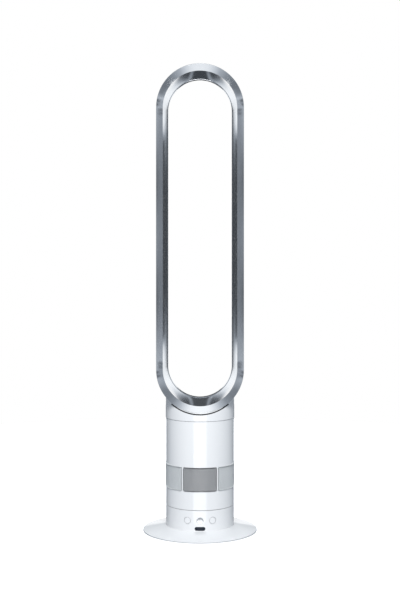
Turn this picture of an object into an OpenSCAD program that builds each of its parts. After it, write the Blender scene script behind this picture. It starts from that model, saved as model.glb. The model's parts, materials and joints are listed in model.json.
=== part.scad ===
// Bladeless tower fan: a fixed base with controls, an oscillating body with
// a mixed-flow impeller, and a tall open loop that blows air from a rear slot.
// Origin: centre of the foot plane. +Z is up, -Y is the front.

/* [Loop] */
// Height of the whole fan
fan_h = 1007; // [900:1:1200]
// Outer radius of the loop's round ends, half its width
loop_r = 93.6; // [90:0.1:97]
// Depth of the loop from front edge to back
loop_depth = 110; // [104:1:116]
// Width of the sloped band round the front, seen from the front
chamfer_w = 13.8; // [12:0.1:15]
// Depth of the sloped band
chamfer_depth = 14; // [12:0.1:16]
// Radius of the narrowest part of the liner
crown_r = 72; // [71:0.1:73]
// Wall of the loop's outer casing
casing_wall = 2.4; // [2:0.1:3]
// Wall of the loop's inner liner
liner_wall = 2.2; // [1.8:0.1:2.6]
// Width of the air slot
slot_w = 1.3; // [1:0.1:1.6]
// Height of the loop's lowest point above the collar's lower edge
loop_lift = 14.3; // [13:0.1:18]

/* [Body] */
// Radius of the body and of the lower casing
body_r = 73.5; // [72:0.1:75]
// Wall of the body and casing mouldings
wall = 2.5; // [2.2:0.1:2.8]
// How far the collar stands proud of the body
collar_step = 0.9; // [0.6:0.1:1.2]
// Height of the lower casing's top edge
casing_top = 57.3; // [57:0.1:59]
// Open seam between the fixed casing and the turning body
seam_gap = 1; // [0.8:0.1:1.4]
// Height of the seam between body and collar
collar_z = 246; // [244:1:252]
// Bottom of the air inlet band
inlet_z = 97.5; // [92:0.5:100]
// Height of the air inlet band
inlet_h = 50.8; // [48:0.1:52]
// Number of perforated inlet panels
panel_count = 6; // [4:1:6]
// Plain bar between two inlet panels
bar_w = 4.4; // [3.6:0.1:6]
// Radius of one inlet hole
hole_r = 1.9; // [1.4:0.1:2]
// Distance between inlet holes
hole_pitch = 6; // [5.8:0.1:8]

/* [Base] */
// Radius of the base plate
plate_r = 123.5; // [118:0.5:130]
// Height of the plate where the casing stands on it
plate_h = 14.3; // [14:0.1:15]
// Height of the feet below the plate's edge
foot_drop = 1.2; // [1:0.1:2]
// Thickness of the plate's edge
rim_h = 3; // [2.6:0.1:3.4]
// Number of rubber feet
foot_count = 6; // [3:1:8]

/* [Controls] */
// Height of the row of buttons
button_z = 36.2; // [35.5:0.1:36.5]
// Angle of each button from the front
button_angle = 21.5; // [20:0.5:24]
// Radius of a push button
button_r = 7; // [6:0.1:7.4]
// Radius of the airflow dial
dial_r = 7.3; // [6.5:0.1:7.6]
// Width of the signal window
window_w = 22.8; // [18:0.1:24]
// Height of the signal window
window_h = 8.2; // [7:0.1:8.4]
// Travel of a push button
button_travel = 1.5; // [1:0.1:1.8]

/* [Hidden] */
$fn = 96;
overrun = 1;
fit_gap = 0.15;
run_gap = 0.05;
move_gap = 0.3;
nozzle_grey = [0.62, 0.65, 0.69];
shell_white = [0.93, 0.94, 0.95];

// Loop, all radii measured from the centre line of its round ends
loop_high_z = fan_h - loop_r;
loop_low_z = collar_z + loop_lift + loop_r;
loop_straight = loop_high_z - loop_low_z;
front_y = -loop_depth / 2;
back_y = loop_depth / 2;
band_r = loop_r - chamfer_w;
band_y = front_y + chamfer_depth;
casing_in_r = loop_r - casing_wall;
joint_y = front_y + casing_wall * chamfer_depth / chamfer_w + liner_wall * sqrt(2);
slot_setback = 28;
slot_y = back_y - slot_setback;
crown_lead = 7;
tail_len = 8;
crown_y = slot_y - crown_lead;
tail_end_y = slot_y + tail_len;
slot_rise = 0.6;
lip_wall = 1.4;
lip_in_r = crown_r + slot_rise - slot_w;
lip_r = lip_in_r - lip_wall;
bend_r = (loop_r - lip_r) / 2;
bend_mid_r = (loop_r + lip_r) / 2;
bend_y = back_y - bend_r;
liner_corner_share = [0.95, 0.47];
liner_tail_share = 0.4;
diffuser_power = 1.25;
curve_steps = 12;
spacer_count = 9;
spacer_play = 0.5;
spacer_size = [slot_w - spacer_play, 3, 2];
spacer_setback = 1;
spacer_y = slot_y + spacer_setback;
spacer_r = lip_in_r + 3 * fit_gap;
arc_spacer_count = 5;
port_r = 40;

// Levels of the body
shell_z = casing_top + seam_gap;
shell_top = collar_z - seam_gap / 2;
shell_in_r = body_r - wall;
collar_r = body_r + collar_step;
collar_in_r = collar_r - wall;
collar_rise = loop_low_z - collar_z - loop_r / 2;
saddle_gap = 1.1;
saddle_r = loop_r + saddle_gap;
gasket_h = 2;
neck_wall = 3;
neck_r = port_r + neck_wall;
neck_h = loop_low_z - sqrt(pow(loop_r, 2) - pow(neck_r, 2)) + neck_wall - collar_z;
collar_floor_h = 3;
skirt_wall = 2.8;
skirt_r = shell_in_r - move_gap;

// Inlet panels
panel_wall = 1.2;
ledge_w = 1.6;
panel_angle = 360 / panel_count;
panel_half_angle = panel_angle / 2 - bar_w / body_r * 90 / PI;
panel_edge = 3;
row_pitch = hole_pitch * sin(60);

// Screws and their bosses
boss_r = 4.5;
boss_inset = 7;
boss_ring_r = body_r - boss_inset;
boss_angle = 45;
screw_r = 1.5;
screw_bore_r = 1.6;
screw_len = 12;
screw_head_r = 2.8;
screw_head_h = 2;

// Base plate and its under side
plate_wall = 2.5;
casing_sink = 2.8;
deck_z = plate_h - casing_sink;
rim_round = 1.6;
cover_h = 1.8;
cover_r = plate_r - rim_h - fit_gap;
foot_r = 8;
foot_inset = 18;
foot_sink = 1;
weight_gap = 4;
weight_r = boss_ring_r - boss_r - weight_gap;
weight_bore_r = 18;
weight_h = 5.5;

// Swing mechanism
swing_drop = 12.3;
swing_z = casing_top - swing_drop;
swing_deck_h = 2.5;
deck_gap = 0.8;
gear_h = 4;
gear_teeth = 40;
pinion_teeth = 12;
pressure_angle = 20;
addendum_share = 0.8;
dedendum_share = 1.25;
gear_backlash = 0.12;
glide_inset = 2;
glide_w = 4.2;
glide_r = boss_ring_r - screw_head_r - glide_inset;
pinion_room = 8.3;
gear_reach = glide_r - glide_w - pinion_room;
gear_module = gear_reach / (gear_teeth / 2 + pinion_teeth + addendum_share);
gear_r = gear_module * gear_teeth / 2;
pinion_r = gear_module * pinion_teeth / 2;
pinion_y = gear_r + pinion_r;
gear_wall = 11;
hub_r = gear_r - gear_wall;
hub_wall = 5;
spindle_r = hub_r - hub_wall;
spindle_wall = 4;
spindle_bore_r = spindle_r - spindle_wall;
table_gap = 4;
table_r = shell_in_r - table_gap;
table_h = 3;
glide_h = deck_gap + gear_h + move_gap / 2;
table_z = swing_z + swing_deck_h + glide_h + move_gap;
clip_h = 1.5;
clip_w = 3;
groove_depth = 1;
motor_shaft_r = 2.5;
swing_motor_r = 17;
swing_motor_h = 17;
swing_motor_floor = 6;
table_screw_len = 8;
floor_rise = 3.7;
floor_z = shell_z + floor_rise;
floor_h = 2.5;
post_r = 4;
post_ring_r = glide_r - glide_w - post_r;

// Controls
board_h = 1.6;
board_z = 15;
board_top = swing_z - 2 * board_h;
flange_w = 1.2;
flange_h = 1.4;
flange_dip = shell_in_r - sqrt(pow(shell_in_r, 2) - pow(button_r + flange_w, 2));
flange_low = shell_in_r - flange_dip - move_gap - flange_h;
stem_r = 2.5;
switch_inset = 13.5;
switch_r = body_r - switch_inset;
switch_gap = 0.5;
stem_end_r = switch_r + button_travel + switch_gap;
switch_size = [6, 6, 2.8];
board_gap = 2.5;
board_w = 2 * (boss_ring_r * sin(boss_angle) - boss_r - board_gap);
switch_back_y = (switch_r - switch_size[2]) * cos(button_angle);
switch_dip = switch_size[0] / 2 * sin(button_angle);
switch_seat = 0.12;
board_y = switch_back_y - switch_dip - switch_seat;
spring_r = 4.2;
spring_bore_r = 3.2;
dish_depth = 2.6;
dial_rim = 0.4;
dial_h = 6;
dial_stem_r = 3;
encoder_size = [12, 12, 7];
window_rise = 5.1;
window_z = plate_h + window_rise;
window_depth = 1.5;
receiver_size = [6, 5, 7];
gland_z = 25;
cord_r = 3.6;
gland_r = 6;
gland_flange_r = 8;
gland_flange_h = 2;
gland_len = 12;

// Air path, from the inlet up to the loop
foam_h = 12;
foam_gap = 3;
foam_r = shell_in_r - foam_gap;
inlet_ring_gap = 1.7;
inlet_ring_z = inlet_z + inlet_h + inlet_ring_gap;
inlet_ring_h = 6;
duct_gap = 10;
duct_r = shell_in_r - duct_gap;
eye_lead = 23;
eye_r = duct_r - eye_lead;
duct_wall = 2;
funnel_h = 32;
housing_wide_z = inlet_ring_z + inlet_ring_h + funnel_h;
housing_drop = 10;
housing_top = collar_z - housing_drop;
lug_h = 4;
lug_z = housing_wide_z - lug_h / 2;
lug_r = shell_in_r - fit_gap;
lug_half_angle = 9;
lug_angle = 60;
mount_r = 3.4;
mount_ring_r = shell_in_r - move_gap - mount_r;
ledge_r = mount_ring_r - mount_r;
mount_h = 16;
ledge_h = 4;
seal_rise = 2;
seal_z = lug_z + lug_h + seal_rise;
seal_h = 2.5;
ring_drop = 8;
ring_z = collar_z - ring_drop;
ring_h = 5;
seal_overlap = 1;
ring_bore_r = duct_r - seal_overlap;
duct_seal_r = duct_r + duct_wall + move_gap;

// Impeller and motor
blade_count = 9;
blade_wall = 1.6;
blade_bend_r = 48;
impeller_gap = 2;
impeller_z = inlet_ring_z + inlet_ring_h + impeller_gap;
impeller_h = 28;
air_gap = 17;
bucket_r = duct_r - air_gap;
bucket_wall = 2;
bucket_gap = 4;
bucket_z = impeller_z + impeller_h + bucket_gap;
hub_low_r = 10;
hub_step = 1;
hub_top_r = bucket_r + hub_step;
shroud_gap = 4;
shroud_low_r = eye_r - shroud_gap;
shroud_top_r = duct_r - shroud_gap;
shroud_wall = 1.5;
bearing_r = 9;
bearing_h = 5;
foam_wall = 12;
stator_r = bucket_r - bucket_wall - foam_wall;
magnet_r = stator_r / 2;
stator_gap = 0.6;
stator_bore_r = magnet_r + stator_gap;
stator_h = 16;
stator_rise = 10;
stator_z = bucket_z + stator_rise;
stator_slot_w = 3;
stator_yoke = 4.4;
stator_slot_len = stator_r - stator_bore_r - stator_yoke;
slot_count = 9;
upper_bearing_gap = 1;
upper_bearing_z = stator_z + stator_h + upper_bearing_gap;
shaft_r = 4;
shaft_z = impeller_z + impeller_gap;
shaft_top = upper_bearing_z + bearing_h;
bucket_top = shaft_top + bucket_wall;
cap_rise = 10;
cap_vent_share = 0.7;
vane_count = 7;
vane_rise = 6;
vane_z = bucket_z + vane_rise;
vane_h = 22;
vane_wall = 1.8;
vane_bend_share = 0.656;
vane_bend_r = duct_r * vane_bend_share;
lead_r = 2;
lead_angle = 120;
lead_drop = 8;
lead_low_z = floor_z - lead_drop;
lead_floor_z = floor_z + floor_h + lead_r;
lead_inset = 3.5;
lead_ring_r = shell_in_r - lead_inset;
lead_top = bucket_top - lead_inset;
grommet_r = 4;

// Release catch on the right side
catch_drop = 33.5;
catch_z = collar_z - catch_drop;
catch_half_w = 8;
catch_back_gap = 1;
catch_back_r = shell_in_r - catch_back_gap;
catch_flange_half_w = 10;
catch_flange_wall = 1.4;
catch_flange_r = skirt_r - catch_flange_wall;
catch_flange_drop = 3;
catch_flange_top = ring_z - catch_flange_drop;
catch_stem_r = 3;
catch_spring_wall = 2;
catch_travel = 2;
catch_mid_z = (catch_z + catch_flange_top) / 2;
catch_post_gap = 1.6;
catch_post_r = duct_r + duct_wall + catch_post_gap;
catch_stem_gap = 0.4;
catch_stem_end = catch_post_r + catch_travel + catch_stem_gap;
catch_post_h = 18;
catch_post_wall = 1;

// A ring or a pipe standing on z
module ring(outer_r, inner_r, z, h) {
  translate([0, 0, z])
    difference() {
      cylinder(r = outer_r, h = h);
      translate([0, 0, -overrun]) cylinder(r = inner_r, h = h + 2 * overrun);
    }
}

// A round bar standing on z
module bar(r, z, h) {
  translate([0, 0, z]) cylinder(r = r, h = h);
}

// Copies placed evenly on a circle
module around(count, radius, start = 0) {
  for (i = [0 : count - 1])
    rotate([0, 0, start + i * 360 / count]) translate([radius, 0, 0]) children();
}

// Turns local +Z to point out of the body at an angle from the front
module outward(angle, z) {
  rotate([0, 0, angle]) translate([0, 0, z]) rotate([90, 0, 0]) children();
}

// Everything within a radius of the loop's lower centre line
module saddle(r) {
  translate([0, 0, loop_low_z]) rotate([90, 0, 0])
    cylinder(r = r, h = 2 * plate_r, center = true, $fn = 180);
}

// A section carried round the loop: x is the radius, y the depth
module loop_sweep() {
  for (side = [0, 1])
    mirror([side, 0, 0]) translate([0, 0, loop_low_z])
      linear_extrude(height = loop_straight) children();
  translate([0, 0, loop_low_z]) rotate([-90, 0, 0])
    rotate_extrude(angle = 180, $fn = 180) children();
  translate([0, 0, loop_high_z]) rotate([-90, 0, 0]) rotate([0, 0, 180])
    rotate_extrude(angle = 180, $fn = 180) children();
}

function involute(a) = tan(a) * 180 / PI - a;

// Half angle of a gear tooth at radius r
function tooth_half(r, pitch, teeth) =
  let (base = pitch * cos(pressure_angle), at = max(r, base))
  90 / teeth - gear_backlash / pitch * 180 / PI
    + involute(pressure_angle) - involute(acos(base / at));

// How far a wall of radius r falls back at a distance from its middle
function dip(r, half) = r - sqrt(r * r - half * half);

function polar(r, a) = [r * cos(a), r * sin(a)];

// Outline of a spur gear with involute flanks
module gear_outline(teeth) {
  pitch = gear_module * teeth / 2;
  root = pitch - gear_module * dedendum_share;
  tip = pitch + gear_module * addendum_share;
  levels = [for (k = [0 : 4]) root + (tip - root) * k / 4];
  polygon([
    for (i = [0 : teeth - 1])
      for (k = [0 : 9])
        let (up = k < 5, r = levels[up ? k : 9 - k], half = tooth_half(r, pitch, teeth))
          polar(r, i * 360 / teeth + (up ? -half : half))
  ]);
}

// Base plate: a shallow cone with a rounded edge and a sunk deck
module base_plate() {
  round_x = plate_r - rim_round;
  round_z = foot_drop + rim_h - rim_round;
  edge = [for (a = [0 : 15 : 75]) [round_x + rim_round * cos(a), round_z + rim_round * sin(a)]];
  color(shell_white)
    difference() {
      rotate_extrude($fn = 180)
        polygon(concat(
          [[0, deck_z - plate_wall], [body_r, deck_z - plate_wall],
           [plate_r - 2 * rim_h, foot_drop + cover_h], [cover_r + fit_gap, foot_drop + cover_h],
           [cover_r + fit_gap, foot_drop], [plate_r, foot_drop]],
          edge,
          [[body_r + fit_gap, plate_h], [body_r + fit_gap, deck_z], [0, deck_z]]));
      around(4, boss_ring_r, boss_angle) bar(screw_bore_r, 0, plate_h);
    }
}

module under_cover() {
  color("dimgray")
    difference() {
      bar(cover_r, foot_drop, cover_h);
      around(foot_count, plate_r - foot_inset)
        bar(foot_r, foot_drop - overrun, foot_sink + overrun);
    }
}

module rubber_feet() {
  color("black")
    around(foot_count, plate_r - foot_inset) bar(foot_r, 0, foot_drop + foot_sink);
}

module base_weight() {
  color("gray") ring(weight_r, weight_bore_r, foot_drop + cover_h, weight_h);
}

// A pan head screw with its head at the origin and its shank along +Z
module screw(len) {
  translate([0, 0, -screw_head_h])
    difference() {
      cylinder(r = screw_head_r, h = screw_head_h);
      translate([0, 0, -overrun]) cylinder(r = screw_r, h = overrun + screw_head_h / 2, $fn = 6);
    }
  cylinder(r = screw_r, h = len);
}

module base_screws() {
  color("silver")
    around(4, boss_ring_r, boss_angle) translate([0, 0, deck_z - plate_wall])
      screw(screw_len);
}

module pill(w, h, depth) {
  linear_extrude(height = depth) {
    square([w - h, h], center = true);
    for (side = [-1, 1]) translate([side * (w - h) / 2, 0]) circle(d = h);
  }
}

module lower_casing() {
  color(shell_white)
    difference() {
      union() {
        ring(body_r, shell_in_r, deck_z, casing_top - deck_z);
        intersection() {
          around(4, boss_ring_r, boss_angle) bar(boss_r, deck_z, swing_z - deck_z);
          bar(body_r - wall / 2, deck_z, swing_z);
        }
      }
      around(4, boss_ring_r, boss_angle) bar(screw_bore_r, 0, swing_z + overrun);
      for (side = [-1, 1])
        outward(side * button_angle, button_z) cylinder(r = button_r + fit_gap, h = plate_r);
      outward(0, button_z) cylinder(r = dial_r + fit_gap, h = plate_r);
      outward(0, window_z) pill(window_w + fit_gap, window_h + fit_gap, plate_r);
      outward(180, gland_z) cylinder(r = gland_r + run_gap, h = plate_r);
    }
}

module control_board() {
  color("darkgreen")
    translate([-board_w / 2, -board_y, board_z]) cube([board_w, board_h, board_top - board_z]);
}

// Components on the back of the control board
module board_parts() {
  chip = [14, 3, 14];
  coil = [12, 9, 12];
  back = -board_y + board_h;
  can_r = 4;
  can_h = 12;
  can_pitch = 12;
  color("darkslategray") {
    translate([-chip[0] / 2, back, button_z - chip[2]]) cube(chip);
    translate([board_w / 2 - coil[0] * 2, back, board_z + coil[2] / 2]) cube(coil);
    for (i = [0, 1])
      translate([2 * can_r + i * can_pitch - board_w / 2, back, button_z])
        rotate([-90, 0, 0]) cylinder(r = can_r, h = can_h);
  }
}

module button_switches() {
  color("dimgray")
    for (side = [-1, 1])
      rotate([0, 0, side * button_angle])
        translate([-switch_size[0] / 2, -switch_r, button_z - switch_size[1] / 2])
          cube([switch_size[0], switch_size[2], switch_size[1]]);
}

module dial_encoder() {
  color("dimgray")
    difference() {
      translate([-encoder_size[0] / 2, -board_y - encoder_size[2], button_z - encoder_size[1] / 2])
        cube([encoder_size[0], encoder_size[2], encoder_size[1]]);
      outward(0, button_z) translate([0, 0, board_y + board_h])
        cylinder(r = dial_stem_r + run_gap, h = encoder_size[2]);
    }
}

module signal_receiver() {
  color("black")
    translate([-receiver_size[0] / 2, -board_y - receiver_size[1], window_z - receiver_size[2] / 2])
      cube(receiver_size);
}

module signal_window() {
  color([0.15, 0.18, 0.23])
    intersection() {
      outward(0, window_z) pill(window_w, window_h, plate_r);
      ring(body_r, body_r - window_depth, 0, plate_h + window_z);
    }
}

// A push button that slides along a radius of the casing
module push_button() {
  intersection() {
    outward(0, button_z) {
      translate([0, 0, flange_low]) cylinder(r = button_r, h = body_r - flange_low);
      translate([0, 0, flange_low]) cylinder(r = button_r + flange_w, h = flange_h);
      translate([0, 0, stem_end_r]) cylinder(r = stem_r, h = flange_low - stem_end_r + overrun);
    }
    bar(body_r - run_gap, 0, casing_top);
  }
}

module power_button() {
  color("white") rotate([0, 0, -button_angle]) push_button();
}

module swing_button() {
  color("white") rotate([0, 0, button_angle]) push_button();
}

// Return spring of a button, round its stem
module button_spring() {
  outward(0, button_z) translate([0, 0, switch_r])
    difference() {
      cylinder(r = spring_r, h = flange_low - switch_r);
      translate([0, 0, -overrun]) cylinder(r = spring_bore_r, h = body_r);
    }
}

module power_spring() {
  color("silver") rotate([0, 0, -button_angle]) button_spring();
}

module swing_spring() {
  color("silver") rotate([0, 0, button_angle]) button_spring();
}

// Airflow dial with a dished face
module airflow_dial() {
  dish_half = dial_r - dial_rim;
  dish_r = (dish_half * dish_half / dish_depth + dish_depth) / 2;
  color("white")
    difference() {
      intersection() {
        union() {
          outward(0, button_z) translate([0, 0, body_r - dial_h]) cylinder(r = dial_r, h = dial_h);
          outward(0, button_z) translate([0, 0, board_y + 2 * board_h])
            cylinder(r = dial_stem_r, h = body_r - dial_h - board_y - 2 * board_h + run_gap);
        }
        bar(body_r, 0, casing_top);
      }
      outward(0, button_z) translate([0, 0, body_r - dish_depth + dish_r])
        sphere(r = dish_r);
    }
}

// Outlet for the supply cord, at the back of the casing
module cord_gland() {
  color("gray")
    outward(180, gland_z)
      difference() {
        union() {
          translate([0, 0, body_r - gland_len]) cylinder(r = gland_r, h = gland_len + gland_flange_h);
          translate([0, 0, body_r]) cylinder(r = gland_flange_r, h = gland_flange_h);
          translate([0, 0, shell_in_r - dip(shell_in_r, gland_flange_r) - gland_flange_h])
            cylinder(r = gland_flange_r, h = gland_flange_h);
        }
        translate([0, 0, body_r - 2 * gland_len]) cylinder(r = cord_r, h = 4 * gland_len);
      }
}

// Fixed deck with the hollow pivot of the turning body
module swing_deck() {
  color("lightgray")
    difference() {
      union() {
        bar(shell_in_r - fit_gap, swing_z, swing_deck_h);
        bar(spindle_r, swing_z, table_z + table_h + 2 * clip_h - swing_z);
      }
      bar(spindle_bore_r, 0, shell_top);
      ring(plate_r, spindle_r - groove_depth, table_z + table_h + move_gap, clip_h);
      translate([0, pinion_y, 0]) bar(motor_shaft_r + 2 * fit_gap, 0, shell_top);
      around(4, boss_ring_r, boss_angle) bar(screw_bore_r, 0, table_z);
    }
}

module deck_screws() {
  color("silver")
    around(4, boss_ring_r, boss_angle)
      translate([0, 0, swing_z + swing_deck_h]) mirror([0, 0, 1]) screw(screw_len);
}

module glide_ring() {
  color("ivory") ring(glide_r, glide_r - glide_w, swing_z + swing_deck_h, glide_h);
}

module spindle_clip() {
  color("silver")
    difference() {
      ring(spindle_r + clip_w, spindle_r - groove_depth, table_z + table_h + move_gap, clip_h);
      translate([0, -clip_w, 0]) cube([plate_r, 2 * clip_w, shell_top]);
    }
}

module swing_motor() {
  color("silver")
    difference() {
      translate([0, pinion_y, 0]) bar(swing_motor_r, swing_z - swing_motor_h, swing_motor_h);
      translate([0, pinion_y, 0])
        bar(motor_shaft_r + run_gap, swing_z - swing_motor_h + swing_motor_floor, swing_motor_h);
    }
}

// Pinion and its shaft, half a tooth round so that it meshes at rest
module swing_pinion() {
  shaft_low = swing_z - swing_motor_h / 2;
  gear_z = swing_z + swing_deck_h + deck_gap;
  color("ivory")
    translate([0, pinion_y, 0]) {
      translate([0, 0, gear_z]) rotate([0, 0, 180 / pinion_teeth])
        linear_extrude(height = gear_h - move_gap) gear_outline(pinion_teeth);
      bar(motor_shaft_r, shaft_low, gear_z - shaft_low);
    }
}

module swing_gear() {
  color("ivory")
    translate([0, 0, swing_z + swing_deck_h + deck_gap])
      difference() {
        linear_extrude(height = table_z - swing_z - swing_deck_h - deck_gap)
          gear_outline(gear_teeth);
        translate([0, 0, -overrun]) cylinder(r = hub_r, h = gear_h + 3 * overrun);
      }
}

// Turntable that rides on the glide ring and carries the whole upper body
module turntable() {
  hub_z = swing_z + swing_deck_h + deck_gap;
  color("lightgray")
    difference() {
      union() {
        bar(table_r, table_z, table_h);
        bar(hub_r, hub_z, table_z - hub_z);
        around(4, post_ring_r) bar(post_r, table_z, floor_z - table_z);
      }
      bar(spindle_r + run_gap, 0, shell_top);
      around(4, post_ring_r) bar(screw_bore_r, table_z + wall, shell_top);
    }
}

module table_screws() {
  color("silver")
    around(4, post_ring_r) translate([0, 0, floor_z + floor_h]) mirror([0, 0, 1])
      screw(table_screw_len);
}

module body_floor() {
  color("lightgray")
    difference() {
      ring(shell_in_r - fit_gap, spindle_bore_r, floor_z, floor_h);
      around(4, post_ring_r) bar(screw_bore_r, 0, shell_top);
    }
}

// A sector of a ring, centred on +X
module sector(outer_r, inner_r, z, h, half_angle) {
  translate([0, 0, z]) rotate([0, 0, -half_angle])
    rotate_extrude(angle = 2 * half_angle, $fn = 180)
      translate([inner_r, 0]) square([outer_r - inner_r, h]);
}

// Copies at the middle of every inlet panel, the first one at the front
module at_panels() {
  for (i = [0 : panel_count - 1]) rotate([0, 0, i * panel_angle - 90]) children();
}

module body_shell() {
  rebate_angle = fit_gap / body_r * 180 / PI;
  window_angle = ledge_w / body_r * 180 / PI;
  color(shell_white)
    difference() {
      union() {
        ring(body_r, shell_in_r, shell_z, shell_top - shell_z);
        ring(body_r - wall / 2, table_r, floor_z - wall, wall);
        around(3, 0, lug_angle)
          sector(body_r - wall / 2, ledge_r, lug_z - mount_h - ledge_h, ledge_h, lug_half_angle);
      }
      at_panels() {
        sector(plate_r, body_r - panel_wall, inlet_z, inlet_h, panel_half_angle + rebate_angle);
        sector(plate_r, shell_in_r - wall, inlet_z + ledge_w, inlet_h - 2 * ledge_w,
               panel_half_angle - window_angle);
      }
      translate([shell_in_r - wall, -catch_half_w - move_gap, catch_z])
        cube([plate_r, 2 * (catch_half_w + move_gap), collar_z]);
    }
}

// One perforated panel of the air inlet
module inlet_panel(i) {
  columns = floor((2 * panel_half_angle * PI / 180 * body_r - panel_edge) / hole_pitch);
  rows = floor((inlet_h - panel_edge) / row_pitch);
  step_angle = hole_pitch / body_r * 180 / PI;
  first_z = inlet_z + (inlet_h - (rows - 1) * row_pitch) / 2;
  color("silver")
    rotate([0, 0, i * panel_angle - 90])
      difference() {
        sector(body_r, body_r - panel_wall, inlet_z + fit_gap, inlet_h - 2 * fit_gap,
               panel_half_angle);
        for (row = [0 : rows - 1])
          let (shift = row % 2, count = columns - shift)
            for (column = [0 : count - 1])
              rotate([0, 0, (column - (count - 1) / 2) * step_angle])
                translate([shell_in_r, 0, first_z + row * row_pitch]) rotate([0, 90, 0])
                  cylinder(r = hole_r, h = wall + overrun);
      }
}

module floor_foam() {
  color("dimgray")
    difference() {
      ring(foam_r, spindle_bore_r + screw_head_r, floor_z + floor_h + screw_head_h, foam_h);
      lead_route(lead_r + fit_gap);
    }
}

// Bell mouth below the impeller
module inlet_ring() {
  color("lightgray")
    translate([0, 0, inlet_ring_z])
      difference() {
        cylinder(r = duct_r, h = inlet_ring_h);
        translate([0, 0, inlet_ring_h / 2]) cylinder(r = eye_r - duct_wall, h = inlet_ring_h);
        translate([0, 0, -overrun / 2])
          cylinder(r1 = eye_r + inlet_ring_h, r2 = eye_r - duct_wall, h = inlet_ring_h / 2 + overrun);
      }
}

// Section of the housing's inner surface, from the eye up to the outlet
function duct_line(out) = [
  [eye_r + out, inlet_ring_z + inlet_ring_h],
  [duct_r + out, housing_wide_z],
  [duct_r + out, housing_top]
];

module impeller_housing() {
  outer = duct_line(duct_wall);
  color("lightgray")
    difference() {
      union() {
        rotate_extrude($fn = 180)
          polygon([duct_line(0)[0], outer[0], outer[1], outer[2], duct_line(0)[2], duct_line(0)[1]]);
        around(3, 0, lug_angle)
          sector(lug_r, duct_r + duct_wall / 2, lug_z, lug_h, lug_half_angle);
      }
      rotate([0, 0, lead_angle]) translate([duct_r / 2, 0, lead_top]) rotate([0, 90, 0])
        cylinder(r = grommet_r, h = duct_r);
    }
}

module lip_seal() {
  color("black")
    difference() {
      ring(shell_in_r - fit_gap, duct_r + duct_wall, seal_z, seal_h);
      rotate([0, 0, lead_angle]) translate([lead_ring_r, 0, 0]) bar(lead_r + fit_gap, 0, shell_top);
    }
}

module housing_mounts() {
  color("black")
    around(3, mount_ring_r, lug_angle) bar(mount_r, lug_z - mount_h, mount_h);
}

// Space swept between hub and shroud, where the blades lie
module blade_space() {
  rotate_extrude($fn = 180)
    polygon([
      [hub_low_r, impeller_z], [shroud_low_r, impeller_z], [shroud_top_r, impeller_z + impeller_h],
      [hub_top_r, impeller_z + impeller_h]
    ]);
}

// A plate curved like a part of a circle, standing on z
module curved_plate(bend_r, thick, z, h) {
  translate([0, bend_r, 0]) ring(bend_r + thick / 2, bend_r - thick / 2, z, h);
}

// Mixed-flow impeller: a conical hub with curved blades
module impeller() {
  color([0.35, 0.37, 0.4])
    difference() {
      union() {
        rotate_extrude($fn = 180)
          polygon([
            [0, impeller_z], [hub_low_r, impeller_z], [hub_top_r, impeller_z + impeller_h],
            [hub_top_r - blade_wall, impeller_z + impeller_h],
            [hub_low_r, impeller_z + 3 * blade_wall],
            [hub_low_r, impeller_z + impeller_h / 2], [0, impeller_z + impeller_h / 2]
          ]);
        intersection() {
          blade_space();
          for (i = [0 : blade_count - 1])
            rotate([0, 0, i * 360 / blade_count]) intersection() {
              curved_plate(blade_bend_r, blade_wall, impeller_z, impeller_h);
              translate([0, -blade_wall, impeller_z]) cube([shroud_top_r, duct_r, impeller_h]);
            }
        }
      }
      bar(shaft_r, 0, shell_top);
    }
}

module impeller_shroud() {
  color([0.35, 0.37, 0.4])
    rotate_extrude($fn = 180)
      polygon([
        [shroud_low_r, impeller_z], [shroud_low_r + shroud_wall, impeller_z],
        [shroud_top_r + shroud_wall, impeller_z + impeller_h],
        [shroud_top_r, impeller_z + impeller_h]
      ]);
}

module motor_shaft() {
  color("silver") bar(shaft_r, shaft_z, shaft_top - shaft_z);
}

module rotor_magnet() {
  color("dimgray") ring(magnet_r, shaft_r, stator_z, stator_h - upper_bearing_gap);
}

module motor_stator() {
  color([0.72, 0.45, 0.2])
    difference() {
      ring(stator_r, stator_bore_r, stator_z, stator_h);
      around(slot_count, stator_bore_r - overrun)
        translate([0, -stator_slot_w / 2, stator_z - overrun])
          cube([stator_slot_len, stator_slot_w, stator_h + 2 * overrun]);
    }
}

module motor_bearings() {
  color("silver") {
    ring(bearing_r, shaft_r + run_gap, bucket_z + bucket_wall, bearing_h);
    ring(bearing_r, shaft_r + run_gap, upper_bearing_z, bearing_h);
  }
}

// Motor cup with the diffuser vanes that hold it in the housing
module motor_bucket() {
  color("lightgray")
    difference() {
      union() {
        ring(bucket_r, bucket_r - bucket_wall, bucket_z, bucket_top - bucket_z);
        bar(bucket_r, bucket_z, bucket_wall);
        ring(bearing_r + bucket_wall, bearing_r, bucket_z, bucket_wall + bearing_h);
        intersection() {
          ring(duct_r, bucket_r - bucket_wall / 2, vane_z, vane_h);
          for (i = [0 : vane_count - 1])
            rotate([0, 0, i * 360 / vane_count]) intersection() {
              curved_plate(vane_bend_r, vane_wall, vane_z, vane_h);
              translate([0, -vane_wall, vane_z]) cube([duct_r, duct_r, vane_h]);
            }
        }
      }
      bar(shaft_r + move_gap, 0, bucket_z + bucket_wall + overrun);
      lead_route(lead_r + fit_gap);
    }
}

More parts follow.
